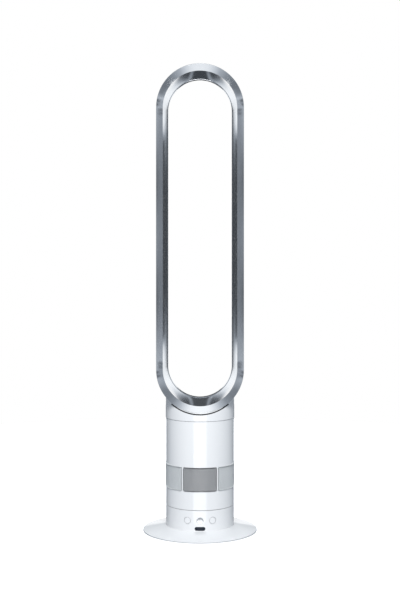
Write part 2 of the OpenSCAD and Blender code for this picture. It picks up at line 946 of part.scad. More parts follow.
// Cap of the motor cup: a perforated cone that ends the air path
module bucket_cap() {
  cap_top_r = bucket_r / 2;
  color("lightgray")
    difference() {
      union() {
        bar(bucket_r, bucket_top, bucket_wall);
        translate([0, 0, bucket_top + bucket_wall])
          cylinder(r1 = bucket_r, r2 = cap_top_r, h = cap_rise);
        ring(bearing_r + bucket_wall, bearing_r, upper_bearing_z, bucket_top - upper_bearing_z);
      }
      translate([0, 0, bucket_top + bucket_wall - overrun / 2])
        cylinder(r1 = bucket_r - 2 * bucket_wall, r2 = cap_top_r - 2 * bucket_wall,
                 h = cap_rise - bucket_wall);
      bar(bearing_r, 0, bucket_top);
      around(2 * slot_count, cap_vent_share * bucket_r) bar(bucket_wall, 0, shell_top);
    }
}

module bucket_foam() {
  color("dimgray")
    difference() {
      ring(bucket_r - bucket_wall, stator_r, stator_z - bucket_wall, stator_h + 2 * bucket_wall);
      lead_route(lead_r + fit_gap);
    }
}

// Route of the motor's lead: up from the pivot, along the wall, in to the motor
module lead_route(r) {
  rotate([0, 0, lead_angle]) {
    bar(r, lead_low_z, lead_floor_z - lead_low_z);
    translate([0, 0, lead_floor_z]) {
      sphere(r = r);
      rotate([0, 90, 0]) cylinder(r = r, h = lead_ring_r);
    }
    translate([lead_ring_r, 0, lead_floor_z]) {
      sphere(r = r);
      cylinder(r = r, h = lead_top - lead_floor_z);
    }
    translate([lead_ring_r, 0, lead_top]) {
      sphere(r = r);
      rotate([0, -90, 0]) cylinder(r = r, h = lead_ring_r - stator_r - bucket_wall);
    }
  }
}

module motor_lead() {
  color("black") lead_route(lead_r);
}

module lead_grommet() {
  color("black")
    rotate([0, 0, lead_angle]) translate([duct_r - duct_wall / 2, 0, lead_top]) rotate([0, 90, 0])
      difference() {
        union() {
          cylinder(r = grommet_r, h = 2 * duct_wall);
          translate([0, 0, 2 * duct_wall]) cylinder(r = grommet_r + duct_wall, h = duct_wall / 2);
        }
        translate([0, 0, -overrun]) cylinder(r = lead_r, h = 4 * duct_wall);
      }
}

// Room for the catch where it passes the rings at the top of the body
module catch_notch(z, h) {
  translate([catch_back_r - catch_travel - 2 * move_gap, -catch_half_w - 2 * move_gap, z])
    cube([collar_r, 2 * (catch_half_w + 2 * move_gap), h]);
}

// Ring fixed in the top of the body, with the post behind the catch
module body_ring() {
  color("lightgray") {
    difference() {
      ring(shell_in_r - fit_gap, ring_bore_r, ring_z, ring_h);
      catch_notch(0, collar_z);
    }
    translate([catch_post_r - catch_post_wall, -catch_half_w, ring_z - catch_post_h])
      cube([catch_post_wall, 2 * catch_half_w, catch_post_h + ring_h]);
  }
}

module duct_seal() {
  color("black") ring(duct_seal_r, ring_bore_r, housing_top, ring_z - housing_top);
}

// Release catch of the loop, pressed in from the right side
module catch_button() {
  top = shell_top - move_gap;
  color(shell_white) {
    intersection() {
      ring(collar_r, catch_back_r - fit_gap, catch_z + move_gap, top - catch_z - move_gap);
      translate([0, -catch_half_w, 0]) cube([collar_r, 2 * catch_half_w, collar_z]);
    }
    intersection() {
      ring(skirt_r, catch_flange_r, catch_z + catch_stem_r, catch_flange_top - catch_z - catch_stem_r);
      translate([0, -catch_flange_half_w, 0])
        cube([collar_r, 2 * catch_flange_half_w, collar_z]);
    }
    translate([catch_stem_end, 0, catch_mid_z]) rotate([0, 90, 0])
      cylinder(r = catch_stem_r, h = catch_back_r - catch_stem_end);
  }
}

module catch_spring() {
  spring_len = catch_flange_r - dip(catch_flange_r, 2 * catch_stem_r) - catch_post_r;
  color("silver")
    translate([catch_post_r, 0, catch_mid_z]) rotate([0, 90, 0])
      difference() {
        cylinder(r = catch_stem_r + catch_spring_wall, h = spring_len);
        translate([0, 0, -overrun]) cylinder(r = catch_stem_r + fit_gap, h = body_r);
      }
}

// Collar below the loop, with the duct that feeds it
module loop_collar() {
  color(shell_white)
    difference() {
      union() {
        difference() {
          ring(collar_r, collar_in_r, collar_z, collar_rise);
          saddle(saddle_r);
        }
        difference() {
          union() {
            ring(collar_in_r + fit_gap, port_r, collar_z, collar_floor_h);
            ring(skirt_r, skirt_r - skirt_wall, ring_z + ring_h, collar_z - ring_z - ring_h + overrun);
            ring(neck_r, port_r, collar_z, neck_h);
          }
          saddle(loop_r);
        }
      }
      catch_notch(0, collar_z);
    }
}

// Dark gasket that fills the collar below and in front of the loop
module saddle_gasket() {
  color([0.2, 0.2, 0.21])
    difference() {
      intersection() {
        bar(collar_in_r, collar_z + collar_floor_h, collar_rise - collar_floor_h);
        saddle(saddle_r + gasket_h);
      }
      saddle(loop_r + move_gap);
      bar(neck_r, 0, loop_low_z);
    }
}

// Section of the outer casing: side wall, rounded back and lip of the air slot
function casing_section() = concat(
  [[loop_r, joint_y]],
  [for (i = [0 : curve_steps]) [bend_mid_r, bend_y] + polar(bend_r, i * 180 / curve_steps)],
  [[lip_r, slot_y], [lip_in_r, slot_y]],
  [for (i = [curve_steps : -1 : 0])
    [bend_mid_r, bend_y] + polar(bend_r - casing_wall, i * 180 / curve_steps)],
  [[casing_in_r, joint_y]]
);

module loop_casing() {
  color(nozzle_grey)
    difference() {
      loop_sweep() polygon(casing_section());
      bar(port_r, 0, loop_low_z - bend_mid_r + casing_wall);
    }
}

// Section of the liner: sloped front band, diffuser and the curved tail at the slot
function diffuser_at(t) = [
  crown_r + (band_r - crown_r) * pow(1 - t, diffuser_power), band_y + (crown_y - band_y) * t
];
function tail_at(t) =
  let (y = crown_y + (tail_end_y - crown_y) * t)
  [crown_r + slot_rise * pow((y - crown_y) / (slot_y - crown_y), 2), y];

function liner_section() =
  let (steps = curve_steps / 2)
  concat(
    [[loop_r, front_y]],
    [for (i = [0 : curve_steps]) diffuser_at(i / curve_steps)],
    [for (i = [1 : steps]) tail_at(i / steps)],
    [for (i = [steps : -1 : 1])
      tail_at(i / steps) + [liner_wall * (1 - (1 - liner_tail_share) * i / steps), 0]],
    [for (i = [curve_steps : -1 : 1]) diffuser_at(i / curve_steps) + [liner_wall, 0]],
    [[band_r + liner_wall * liner_corner_share[0], band_y + liner_wall * liner_corner_share[1]],
     [casing_in_r, joint_y], [loop_r, joint_y]]
  );

module loop_liner() {
  color(nozzle_grey) loop_sweep() polygon(liner_section());
}

// Small spacers that keep the air slot open
module slot_spacers() {
  color("gray") {
    for (side = [0, 1])
      mirror([side, 0, 0])
        for (i = [0 : spacer_count - 1])
          translate([spacer_r, spacer_y, loop_low_z + (i + 0.5) * loop_straight / spacer_count])
            cube(spacer_size);
    for (i = [1 : arc_spacer_count])
      translate([0, 0, loop_high_z]) rotate([0, -i * 180 / (arc_spacer_count + 1), 0])
        translate([spacer_r, spacer_y, 0]) cube(spacer_size);
    for (i = [1 : arc_spacer_count])
      translate([0, 0, loop_low_z]) rotate([0, i * 180 / (arc_spacer_count + 1), 0])
        translate([spacer_r, spacer_y, 0]) cube(spacer_size);
  }
}

base_plate();
under_cover();
rubber_feet();
base_weight();
base_screws();
lower_casing();
control_board();
board_parts();
button_switches();
dial_encoder();
signal_receiver();
signal_window();
power_button();
swing_button();
power_spring();
swing_spring();
airflow_dial();
cord_gland();
swing_deck();
deck_screws();
glide_ring();
spindle_clip();
swing_motor();
swing_pinion();
swing_gear();
turntable();
table_screws();
body_floor();
body_shell();
inlet_panel(0);  // inlet_panel_1
inlet_panel(1);  // inlet_panel_2
inlet_panel(2);  // inlet_panel_3
inlet_panel(3);  // inlet_panel_4
inlet_panel(4);  // inlet_panel_5
inlet_panel(5);  // inlet_panel_6
floor_foam();
inlet_ring();
impeller_housing();
lip_seal();
housing_mounts();
impeller();
impeller_shroud();
motor_shaft();
rotor_magnet();
motor_stator();
motor_bearings();
motor_bucket();
bucket_cap();
bucket_foam();
motor_lead();
lead_grommet();
body_ring();
duct_seal();
catch_button();
catch_spring();
loop_collar();
saddle_gasket();
loop_casing();
loop_liner();
slot_spacers();
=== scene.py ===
"""Bladeless tower fan: its painted loop, white shells, grilles and controls.

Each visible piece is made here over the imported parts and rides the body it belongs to.
"""

import json
import math

import bpy
from mathutils import Matrix, Vector


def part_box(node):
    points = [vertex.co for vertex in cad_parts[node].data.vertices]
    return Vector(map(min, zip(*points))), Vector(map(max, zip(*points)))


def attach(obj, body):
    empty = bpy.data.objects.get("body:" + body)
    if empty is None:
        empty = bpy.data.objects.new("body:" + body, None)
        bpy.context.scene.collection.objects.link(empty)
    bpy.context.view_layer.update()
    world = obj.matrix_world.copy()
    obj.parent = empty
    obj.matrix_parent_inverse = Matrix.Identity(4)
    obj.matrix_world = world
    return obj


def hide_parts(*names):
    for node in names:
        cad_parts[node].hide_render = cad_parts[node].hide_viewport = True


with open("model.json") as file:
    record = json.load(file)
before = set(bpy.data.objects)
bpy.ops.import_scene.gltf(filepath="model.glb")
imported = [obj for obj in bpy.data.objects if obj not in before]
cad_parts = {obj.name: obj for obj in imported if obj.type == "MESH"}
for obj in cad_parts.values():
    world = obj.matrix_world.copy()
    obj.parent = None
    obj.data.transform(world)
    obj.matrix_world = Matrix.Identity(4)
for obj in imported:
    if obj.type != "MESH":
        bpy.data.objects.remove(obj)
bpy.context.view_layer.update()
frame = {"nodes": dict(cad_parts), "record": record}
nodes = frame["nodes"]

MM = 0.001
# Points nearer than this count as one
MERGE = 0.01 * MM


def reach(node):
    """The largest distance of a CAD node from the body's axis."""
    return max(math.hypot(v.co.x, v.co.y) for v in nodes[node].data.vertices)


def level(node, high):
    """The height of a CAD node's lowest or highest point."""
    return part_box(node)[high].z


# Camera, solved from the photograph's seams, loop and base ellipse
CAMERA_PLACE = (0, -2.6, 0.6346)
LENS = 71.7
SENSOR = 36
HORIZON_ROW = 238
PHOTO_H = 600

bpy.ops.object.camera_add(location=CAMERA_PLACE, rotation=(math.radians(90), 0, 0))
camera = bpy.context.object
camera.data.lens = LENS
camera.data.sensor_width = SENSOR
camera.data.shift_y = (HORIZON_ROW - PHOTO_H / 2) / PHOTO_H
bpy.context.scene.camera = camera

# Sizes read from the frame
LOOP_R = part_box("loop_casing")[1].x
LOOP_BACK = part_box("loop_casing")[1].y
LOOP_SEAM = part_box("loop_casing")[0].y
LOOP_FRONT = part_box("loop_liner")[0].y
TAIL_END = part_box("loop_liner")[1].y
side_heights = [v.co.z for v in nodes["loop_casing"].data.vertices if v.co.x > LOOP_R - MERGE]
LOOP_HIGH = max(side_heights)
LOOP_LOW = min(side_heights)
PLATE_R = reach("base_plate")
PLATE_TOP = level("base_plate", 1)
PLATE_LOW = level("base_plate", 0)
DECK_Z = level("lower_casing", 0)
CASING_TOP = level("lower_casing", 1)
BODY_R = reach("body_shell")
SHELL_LOW = level("body_shell", 0)
SHELL_TOP = level("body_shell", 1)
COLLAR_R = reach("loop_collar")
SKIRT_LOW = level("loop_collar", 0)
BUTTON_Z = sum(corner.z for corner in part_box("airflow_dial")) / 2
PANEL_LOW = level("inlet_panel_1", 0)
PANEL_HIGH = level("inlet_panel_1", 1)
WINDOW_LOW = level("signal_window", 0)
WINDOW_HIGH = level("signal_window", 1)
WINDOW_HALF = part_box("signal_window")[1].x
DIAL_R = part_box("airflow_dial")[1].x
GLAND_Z = sum(corner.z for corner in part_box("cord_gland")) / 2

# Sizes of the mouldings
WALL = 2.5 * MM
FIT_GAP = 0.15 * MM
EDGE_ROUND = 0.35 * MM

# Steps of round forms
TURN_STEPS = 288
ARC_STEPS = 96
RING_STEPS = 64
ROUND_STEPS = 5
SOFT_STEPS = 3
FEWEST_STEPS = 8

# Angles in degrees above which an edge is rounded off or shaded sharp, and the pull of
# the large faces on the shading
CUT_SHARP = 50
SHADE_SHARP = 32
NORMAL_WEIGHT = 100


def only(piece):
    """Selects one piece and nothing else."""
    bpy.ops.object.select_all(action="DESELECT")
    piece.select_set(True)
    bpy.context.view_layer.objects.active = piece


def edit(piece):
    """Opens a piece for editing with everything in it selected."""
    only(piece)
    bpy.ops.object.mode_set(mode="EDIT")
    bpy.ops.mesh.select_mode(type="VERT")
    bpy.ops.mesh.select_all(action="SELECT")


def close():
    """Merges what meets, turns the faces outwards and ends the editing."""
    bpy.ops.mesh.select_all(action="SELECT")
    bpy.ops.mesh.remove_doubles(threshold=MERGE)
    bpy.ops.mesh.dissolve_degenerate(threshold=MERGE)
    bpy.ops.mesh.select_all(action="SELECT")
    bpy.ops.mesh.normals_make_consistent(inside=False)
    bpy.ops.object.mode_set(mode="OBJECT")


def outline(name, points):
    """A closed line through the points, made from a circle with as many corners."""
    bpy.ops.mesh.primitive_circle_add(vertices=len(points), radius=MM)
    piece = bpy.context.object
    piece.name = name
    for corner, point in zip(piece.data.vertices, points):
        corner.co = point
    return piece


def rounded(corners):
    """The points of a closed outline whose (x, y, radius) corners are rounded."""
    points = []
    for i, corner in enumerate(corners):
        at = Vector(corner[:2])
        if not corner[2]:
            points.append(at)
            continue
        back = (Vector(corners[i - 1][:2]) - at).normalized()
        ahead = (Vector(corners[(i + 1) % len(corners)][:2]) - at).normalized()
        half = back.angle(ahead) / 2
        centre = at + (back + ahead).normalized() * corner[2] / math.sin(half)
        start = at + back * corner[2] / math.tan(half) - centre
        end = at + ahead * corner[2] / math.tan(half) - centre
        for step in range(ROUND_STEPS + 1):
            ray = start.lerp(end, step / ROUND_STEPS).normalized()
            points.append(centre + ray * corner[2])
    return points


def turned(name, corners, steps=TURN_STEPS):
    """A piece turned about the upright axis from (radius, height, rounding) corners."""
    piece = outline(name, [(p.x, 0, p.y) for p in rounded(corners)])
    edit(piece)
    bpy.ops.mesh.spin(steps=steps, angle=math.tau, center=(0, 0, 0), axis=(0, 0, 1))
    close()
    return piece


def extruded(name, corners, low, high):
    """An upright prism over an outline of (x, y, rounding) corners."""
    piece = outline(name, [(p.x, p.y, low) for p in rounded(corners)])
    edit(piece)
    bpy.ops.mesh.edge_face_add()
    bpy.ops.mesh.extrude_region_move(TRANSFORM_OT_translate={"value": (0, 0, high - low)})
    close()
    return piece


def ring_part(name, inner, outer, low, high, middle, half):
    """A part of a ring between two heights, its middle at an angle from the front."""
    start = middle - half - math.pi / 2
    corners = [(inner, low), (outer, low), (outer, high), (inner, high)]
    piece = outline(name, [(r * math.cos(start), r * math.sin(start), z) for r, z in corners])
    edit(piece)
    bpy.ops.mesh.edge_face_add()
    steps = max(FEWEST_STEPS, round(TURN_STEPS * half / math.pi))
    bpy.ops.mesh.spin(steps=steps, angle=-2 * half, center=(0, 0, 0), axis=(0, 0, 1))
    close()
    return piece


def moved(piece, matrix):
    """Moves a piece's mesh and leaves its object at the origin."""
    piece.data.transform(matrix)
    piece.data.update()
    return piece


def facing(angle, height):
    """Turns a piece's upright axis to point out of the body, at an angle from the front."""
    turn = Matrix.Rotation(math.radians(angle), 4, "Z")
    return turn @ Matrix.Translation((0, 0, height)) @ Matrix.Rotation(math.pi / 2, 4, "X")


def joined(name, pieces):
    """Several meshes as one piece."""
    only(pieces[0])
    for piece in pieces[1:]:
        piece.select_set(True)
    bpy.ops.object.join()
    pieces[0].name = name
    return pieces[0]


def applied(piece, kind, **settings):
    """Adds a modifier with its settings and applies it."""
    only(piece)
    modifier = piece.modifiers.new(kind.lower(), kind)
    for key, value in settings.items():
        setattr(modifier, key, value)
    bpy.ops.object.modifier_apply(modifier=modifier.name)
    return piece


def cut(piece, cutter, operation="DIFFERENCE"):
    """Cuts one piece with another, which is used up."""
    applied(piece, "BOOLEAN", object=cutter, operation=operation, solver="EXACT")
    bpy.data.objects.remove(cutter)
    return piece


def softened(piece, width):
    """Rounds the sharp edges that cuts leave."""
    return applied(piece, "BEVEL", width=width, segments=SOFT_STEPS, limit_method="ANGLE",
                   angle_limit=math.radians(CUT_SHARP), use_clamp_overlap=True)


def finished(piece, body, slot, finish, *stands_for):
    """Shades a piece, gives it its finish and body, and hides the CAD nodes it stands for."""
    only(piece)
    bpy.ops.object.shade_smooth_by_angle(angle=math.radians(SHADE_SHARP))
    applied(piece, "WEIGHTED_NORMAL", keep_sharp=True, weight=NORMAL_WEIGHT)
    piece.data.materials.clear()
    piece.data.materials.append(finish)
    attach(piece, body)
    if stands_for:
        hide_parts(*stands_for)
    return piece


# Loop: an outer casing and an inner liner, carried round the same two half circles
BAND_WIDTH = 13.8 * MM
BAND_DEPTH = 14 * MM
CROWN_R = 70.4 * MM
CASING_WALL = 2.4 * MM
LINER_WALL = 2.2 * MM
LINER_CORNER_SHARE = (0.95, 0.47)
TAIL_LENGTH = 8 * MM
CROWN_LEAD = 7 * MM
SLOT_Y = TAIL_END - TAIL_LENGTH
CROWN_Y = SLOT_Y - CROWN_LEAD
SLOT_RISE = 2.2 * MM
LIP_DROP = 0.5 * MM
LIP_WALL = 1.4 * MM
LIP_ROUND_SHARE = 0.15
LIP_R = CROWN_R - LIP_DROP
LIP_IN_R = LIP_R + LIP_WALL
PORT_R = 40 * MM
BAND_R = LOOP_R - BAND_WIDTH
BAND_Y = LOOP_FRONT + BAND_DEPTH
BEND_R = (LOOP_R - LIP_R) / 2
BEND_MID_R = (LOOP_R + LIP_R) / 2
BEND_Y = LOOP_BACK - BEND_R
CURVE_STEPS = 28
DIFFUSER_POWER = 1.06
TAIL_SHARE = 0.4


def bend(radius):
    """Points of the casing's round back, from the outside to the inside."""
    turns = [math.pi * i / CURVE_STEPS for i in range(CURVE_STEPS + 1)]
    return [(BEND_MID_R + radius * math.cos(a), BEND_Y + radius * math.sin(a), 0) for a in turns]


def casing_corners():
    """Section of the outer casing: side wall, round back and lip of the air slot."""
    lip_round = (LIP_IN_R - LIP_R) * LIP_ROUND_SHARE
    inner = bend(BEND_R - CASING_WALL)[::-1]
    return ([(LOOP_R, LOOP_SEAM, EDGE_ROUND / 2)] + bend(BEND_R)
            + [(LIP_R, SLOT_Y, lip_round), (LIP_IN_R, SLOT_Y, lip_round)] + inner
            + [(LOOP_R - CASING_WALL, LOOP_SEAM, 0)])


def diffuser(share):
    """A point of the liner between its front band and its narrowest place."""
    radius = CROWN_R + (BAND_R - CROWN_R) * (1 - share) ** DIFFUSER_POWER
    return radius, BAND_Y + (CROWN_Y - BAND_Y) * share


def tail(share):
    """A point of the liner's curved tail, under the lip of the air slot."""
    y = CROWN_Y + (TAIL_END - CROWN_Y) * share
    return CROWN_R + SLOT_RISE * ((y - CROWN_Y) / (SLOT_Y - CROWN_Y)) ** 2, y


def liner_corners():
    """Section of the liner: sloped front band, diffuser and tail, then back inside."""
    front = [(LOOP_R, LOOP_FRONT, EDGE_ROUND), (BAND_R, BAND_Y, EDGE_ROUND / 2)]
    shares = [i / CURVE_STEPS for i in range(1, CURVE_STEPS + 1)]
    face = [(*diffuser(s), 0) for s in shares] + [(*tail(s), 0) for s in shares]
    thin = [(tail(s)[0] + LINER_WALL * (1 - (1 - TAIL_SHARE) * s), tail(s)[1], 0) for s in shares]
    back = [(diffuser(s)[0] + LINER_WALL, diffuser(s)[1], 0) for s in shares]
    aside, behind = LINER_CORNER_SHARE
    inner = (BAND_R + aside * LINER_WALL, BAND_Y + behind * LINER_WALL, 0)
    close_up = [(LOOP_R - CASING_WALL, LOOP_SEAM, 0), (LOOP_R, LOOP_SEAM, EDGE_ROUND / 2)]
    return front + face + thin[::-1] + back[::-1] + [inner] + close_up


def carried_round(name, corners):
    """A section carried up one side, over the top, down the other side and back under."""
    piece = outline(name, [(p.x, p.y, LOOP_LOW) for p in rounded(corners)])
    edit(piece)
    rise = LOOP_HIGH - LOOP_LOW
    for height, centre in ((rise, LOOP_HIGH), (-rise, LOOP_LOW)):
        bpy.ops.mesh.extrude_region_move(TRANSFORM_OT_translate={"value": (0, 0, height)})
        bpy.ops.mesh.spin(steps=ARC_STEPS, angle=math.pi, center=(0, 0, centre), axis=(0, 1, 0))
    close()
    return piece


def loop_pieces(paint):
    """The painted casing with the port for the air, and the liner inside it."""
    casing = carried_round("loop_outer_casing", casing_corners())
    bpy.ops.mesh.primitive_cylinder_add(vertices=RING_STEPS, radius=PORT_R, depth=4 * PORT_R)
    port = moved(bpy.context.object, Matrix.Translation((0, 0, LOOP_LOW - BEND_MID_R - 2 * PORT_R)))
    cut(casing, port)
    finished(casing, "turret", "silver_paint", paint, "loop_casing")
    liner = carried_round("loop_inner_liner", liner_corners())
    finished(liner, "turret", "silver_paint", paint, "loop_liner")


# Body: a shell with six windows, and the collar on top of it
NECK_WALL = 3 * MM
SADDLE_GAP = 0.35 * MM
LEDGE_GAP = 0.6 * MM
RIM_LOW = 263.2 * MM
RIM_R = 113.5 * MM
SLIT_LOW = 260.8 * MM
SLIT_R = 109.5 * MM
SLIT_WIDTH = 2.9 * MM
SLIT_HALF = 61 * MM
SLIT_DEPTH = 1.8 * MM
SLIT_SEAL = 0.6 * MM
COLLAR_FLOOR = 3 * MM
SKIRT_GAP = 0.3 * MM
SKIRT_R = BODY_R - WALL - SKIRT_GAP
SKIRT_WALL = 2.8 * MM
COLLAR_GAP = 0.7 * MM
COLLAR_Z = SHELL_TOP + COLLAR_GAP
PANEL_COUNT = 6
PANEL_WALL = 1.2 * MM
PANEL_BAR = 3.9 * MM
PANEL_SEAT = 1.6 * MM
PANEL_HALF = math.pi / PANEL_COUNT - PANEL_BAR / 2 / BODY_R
CATCH_HALF = 8.3 * MM
CATCH_LOW = 212.5 * MM


def around_body(make):
    """One cutter made of a copy at every inlet panel."""
    parts = [make(i * math.tau / PANEL_COUNT) for i in range(PANEL_COUNT)]
    return joined("panel_cutter", parts)


def block(low, high):
    """A plain cutter between two corners."""
    bpy.ops.mesh.primitive_cube_add(size=1)
    middle = (Vector(low) + Vector(high)) / 2
    size = Vector(high) - Vector(low)
    return moved(bpy.context.object, Matrix.Translation(middle) @ Matrix.Diagonal((*size, 1)))


def body_shell(plastic):
    """The turning shell, with a seat and a way through for each panel and the catch's notch."""
    inner = BODY_R - WALL
    shell = turned("turning_body_shell", [
        (inner, SHELL_LOW, 0), (BODY_R, SHELL_LOW, EDGE_ROUND),
        (BODY_R, SHELL_TOP, EDGE_ROUND), (inner, SHELL_TOP, 0)])
    seat_low, seat_high = PANEL_LOW - FIT_GAP, PANEL_HIGH + FIT_GAP
    seat_half = PANEL_HALF + FIT_GAP / BODY_R
    open_half = PANEL_HALF - PANEL_SEAT / BODY_R
    cut(shell, around_body(lambda a: ring_part(
        "seat", BODY_R - PANEL_WALL, 2 * BODY_R, seat_low, seat_high, a, seat_half)))
    cut(shell, around_body(lambda a: ring_part(
        "way", inner - WALL, 2 * BODY_R, seat_low + PANEL_SEAT, seat_high - PANEL_SEAT, a,
        open_half)))
    cut(shell, block((inner - WALL, -CATCH_HALF, CATCH_LOW), (2 * BODY_R, CATCH_HALF, COLLAR_Z)))
    finished(shell, "turret", "white_plastic", plastic, "body_shell")


def cross_cylinder(radius, height, low, high):
    """A cutter that runs from front to back, about a line at a height."""
    cutter = turned("cross_cutter", [(0, low, 0), (radius, low, 0), (radius, high, 0),
                                     (0, high, 0)], steps=4 * RING_STEPS)
    return moved(cutter, facing(180, height))


def collar_wall():
    """The collar's wall with its floor, duct neck and the skirt inside the body."""
    inner = COLLAR_R - WALL
    top = LOOP_LOW - LOOP_R / 2
    neck = PORT_R + NECK_WALL
    skirt_in = SKIRT_R - SKIRT_WALL
    return turned("loop_collar_shell", [
        (COLLAR_R, COLLAR_Z, EDGE_ROUND), (COLLAR_R, top, 0), (inner, top, 0),
        (inner, COLLAR_Z + COLLAR_FLOOR, 0), (neck, COLLAR_Z + COLLAR_FLOOR, 0), (neck, top, 0),
        (PORT_R, top, 0), (PORT_R, COLLAR_Z, 0), (skirt_in, COLLAR_Z, 0), (skirt_in, SKIRT_LOW, 0),
        (SKIRT_R, SKIRT_LOW, 0), (SKIRT_R, COLLAR_Z, 0)])


def slit_band(name, inner):
    """A curved band across the collar wall, cut back to a radius from the body's axis."""
    middle = SLIT_LOW + SLIT_R
    half = math.asin(SLIT_HALF / SLIT_R)
    start = -math.pi / 2 - half
    corners = [(SLIT_R - SLIT_WIDTH / 2, -BODY_R * 2), (SLIT_R + SLIT_WIDTH / 2, -BODY_R * 2),
               (SLIT_R + SLIT_WIDTH / 2, BODY_R * 2), (SLIT_R - SLIT_WIDTH / 2, BODY_R * 2)]
    band = outline(name, [(r * math.cos(start), y, middle + r * math.sin(start))
                          for r, y in corners])
    edit(band)
    bpy.ops.mesh.edge_face_add()
    bpy.ops.mesh.spin(steps=RING_STEPS, angle=2 * half, center=(0, 0, middle), axis=(0, 1, 0))
    close()
    core = turned("band_core", [(0, 0, 0), (inner, 0, 0), (inner, LOOP_LOW, 0),
                                (0, LOOP_LOW, 0)])
    return cut(band, core)


def loop_collar(plastic, seal):
    """The collar with its ledges, the saddle for the loop, and the dark line of the joint."""
    collar = collar_wall()
    ledge_y = LOOP_BACK + LEDGE_GAP
    ledge_low, ledge_high = RIM_LOW - 2 * WALL, LOOP_LOW
    ledge = turned("loop_ledge", [(0, ledge_low, 0), (COLLAR_R - WALL / 2, ledge_low, 0),
                                  (COLLAR_R - WALL / 2, ledge_high, 0), (0, ledge_high, 0)])
    # The cutters overlap a little, so that no thin wall is left between them
    near = ledge_y - LEDGE_GAP / 2
    cut(ledge, block((-BODY_R, -near, 0), (BODY_R, near, 2 * LOOP_LOW)))
    cut(collar, ledge, "UNION")
    for low, high in ((-2 * BODY_R, -ledge_y), (ledge_y, 2 * BODY_R)):
        cut(collar, cross_cylinder(RIM_R, RIM_LOW + RIM_R, low, high))
    past = ledge_y + LEDGE_GAP / 5
    cut(collar, cross_cylinder(LOOP_R + SADDLE_GAP, LOOP_LOW, -past, past))
    cut(collar, block((SKIRT_R - 2 * SKIRT_WALL, -CATCH_HALF, 0),
                      (SKIRT_R + MM, CATCH_HALF, COLLAR_Z)))
    softened(collar, EDGE_ROUND / 2)
    cut(collar, slit_band("slit_cutter", COLLAR_R - SLIT_DEPTH))
    finished(collar, "turret", "white_plastic", plastic, "loop_collar")
    strip = slit_band("collar_joint_gasket", COLLAR_R - SLIT_DEPTH - SLIT_SEAL)
    keep = turned("strip_keep", [(0, 0, 0), (COLLAR_R - SLIT_DEPTH + SLIT_SEAL, 0, 0),
                                 (COLLAR_R - SLIT_DEPTH + SLIT_SEAL, LOOP_LOW, 0),
                                 (0, LOOP_LOW, 0)])
    cut(strip, keep, "INTERSECT")
    finished(strip, "turret", "rubber", seal, "saddle_gasket")


# Grilles: six-sided cells with a round hole each, wrapped round the body
HOLE_PITCH = 2.31 * MM
HOLE_R = 0.76 * MM
CELL_R = HOLE_PITCH / math.sqrt(3)
CELL_CORNERS = 12
ROW_STEP = 1.5 * CELL_R
HOLE_INSET = CELL_R / 6
RIM_SHARE = 0.6
COLUMNS = 31
ROW_PAIRS = 12
SHADE_SHEET_GAP = 0.05 * MM
SHADE_SHEET_WALL = 0.15 * MM


def flat_grille():
    """A flat sheet of pierced cells with a plain rim, centred on the origin."""
    bpy.ops.mesh.primitive_circle_add(vertices=CELL_CORNERS, radius=CELL_R, fill_type="NGON")
    sheet = bpy.context.object
    for i, corner in enumerate(sheet.data.vertices):
        if i % 2:
            corner.co *= math.cos(math.tau / CELL_CORNERS)
    edit(sheet)
    bpy.ops.mesh.duplicate_move(TRANSFORM_OT_translate={"value": (HOLE_PITCH / 2, ROW_STEP, 0)})
    bpy.ops.object.mode_set(mode="OBJECT")
    for count, step in ((COLUMNS, (HOLE_PITCH, 0, 0)), (ROW_PAIRS, (0, 2 * ROW_STEP, 0))):
        applied(sheet, "ARRAY", count=count, use_relative_offset=False, use_constant_offset=True,
                constant_offset_displace=step, use_merge_vertices=True, merge_threshold=MERGE)
    middle = Vector(((COLUMNS - 0.5) * HOLE_PITCH / 2, (2 * ROW_PAIRS - 1) * ROW_STEP / 2, 0))
    moved(sheet, Matrix.Translation(-middle))
    edit(sheet)
    bpy.ops.mesh.remove_doubles(threshold=MERGE)
    bpy.ops.mesh.region_to_loop()
    bpy.ops.mesh.extrude_edges_move()
    bpy.ops.object.mode_set(mode="OBJECT")
    return sheet


def squared_rim(sheet, half_wide, half_high):
    """Pulls the sheet's outermost edge out to a rectangle."""
    field_wide = (COLUMNS + 0.5) * HOLE_PITCH / 2
    field_high = (2 * ROW_PAIRS - 1) * ROW_STEP / 2 + CELL_R
    for corner in sheet.data.vertices:
        if not corner.select:
            continue
        if abs(corner.co.x) > field_wide - RIM_SHARE * HOLE_PITCH:
            corner.co.x = math.copysign(half_wide, corner.co.x)
        if abs(corner.co.y) > field_high - RIM_SHARE * CELL_R:
            corner.co.y = math.copysign(half_high, corner.co.y)


def pierced(sheet):
    """Opens a round hole in every cell of the sheet."""
    for face in sheet.data.polygons:
        face.select = len(face.vertices) == CELL_CORNERS
    bpy.ops.object.mode_set(mode="EDIT")
    bpy.ops.mesh.select_mode(type="FACE")
    bpy.ops.mesh.inset(thickness=HOLE_INSET, use_individual=True)
    bpy.ops.object.mode_set(mode="OBJECT")
    corners = sheet.data.vertices
    for face in sheet.data.polygons:
        if face.select:
            centre = face.center.copy()
            for i in face.vertices:
                corners[i].co = centre + (corners[i].co - centre).normalized() * HOLE_R
    bpy.ops.object.mode_set(mode="EDIT")
    bpy.ops.mesh.delete(type="FACE")
    bpy.ops.object.mode_set(mode="OBJECT")


def shade_sheets(front, others):
    """A thin sheet in the back of each grille, painted dark as the shade inside the body, and
    darker behind the one at the front as painted shade.
    """
    face = BODY_R - PANEL_WALL
    for i in range(PANEL_COUNT):
        net = ring_part(f"inlet_shade_sheet_{i + 1}", face + SHADE_SHEET_GAP, face + SHADE_SHEET_GAP + SHADE_SHEET_WALL,
                        PANEL_LOW + PANEL_SEAT, PANEL_HIGH - PANEL_SEAT, i * math.tau / PANEL_COUNT,
                        PANEL_HALF - PANEL_SEAT / BODY_R)
        finished(net, "turret", "grille_metal", others if i else front)


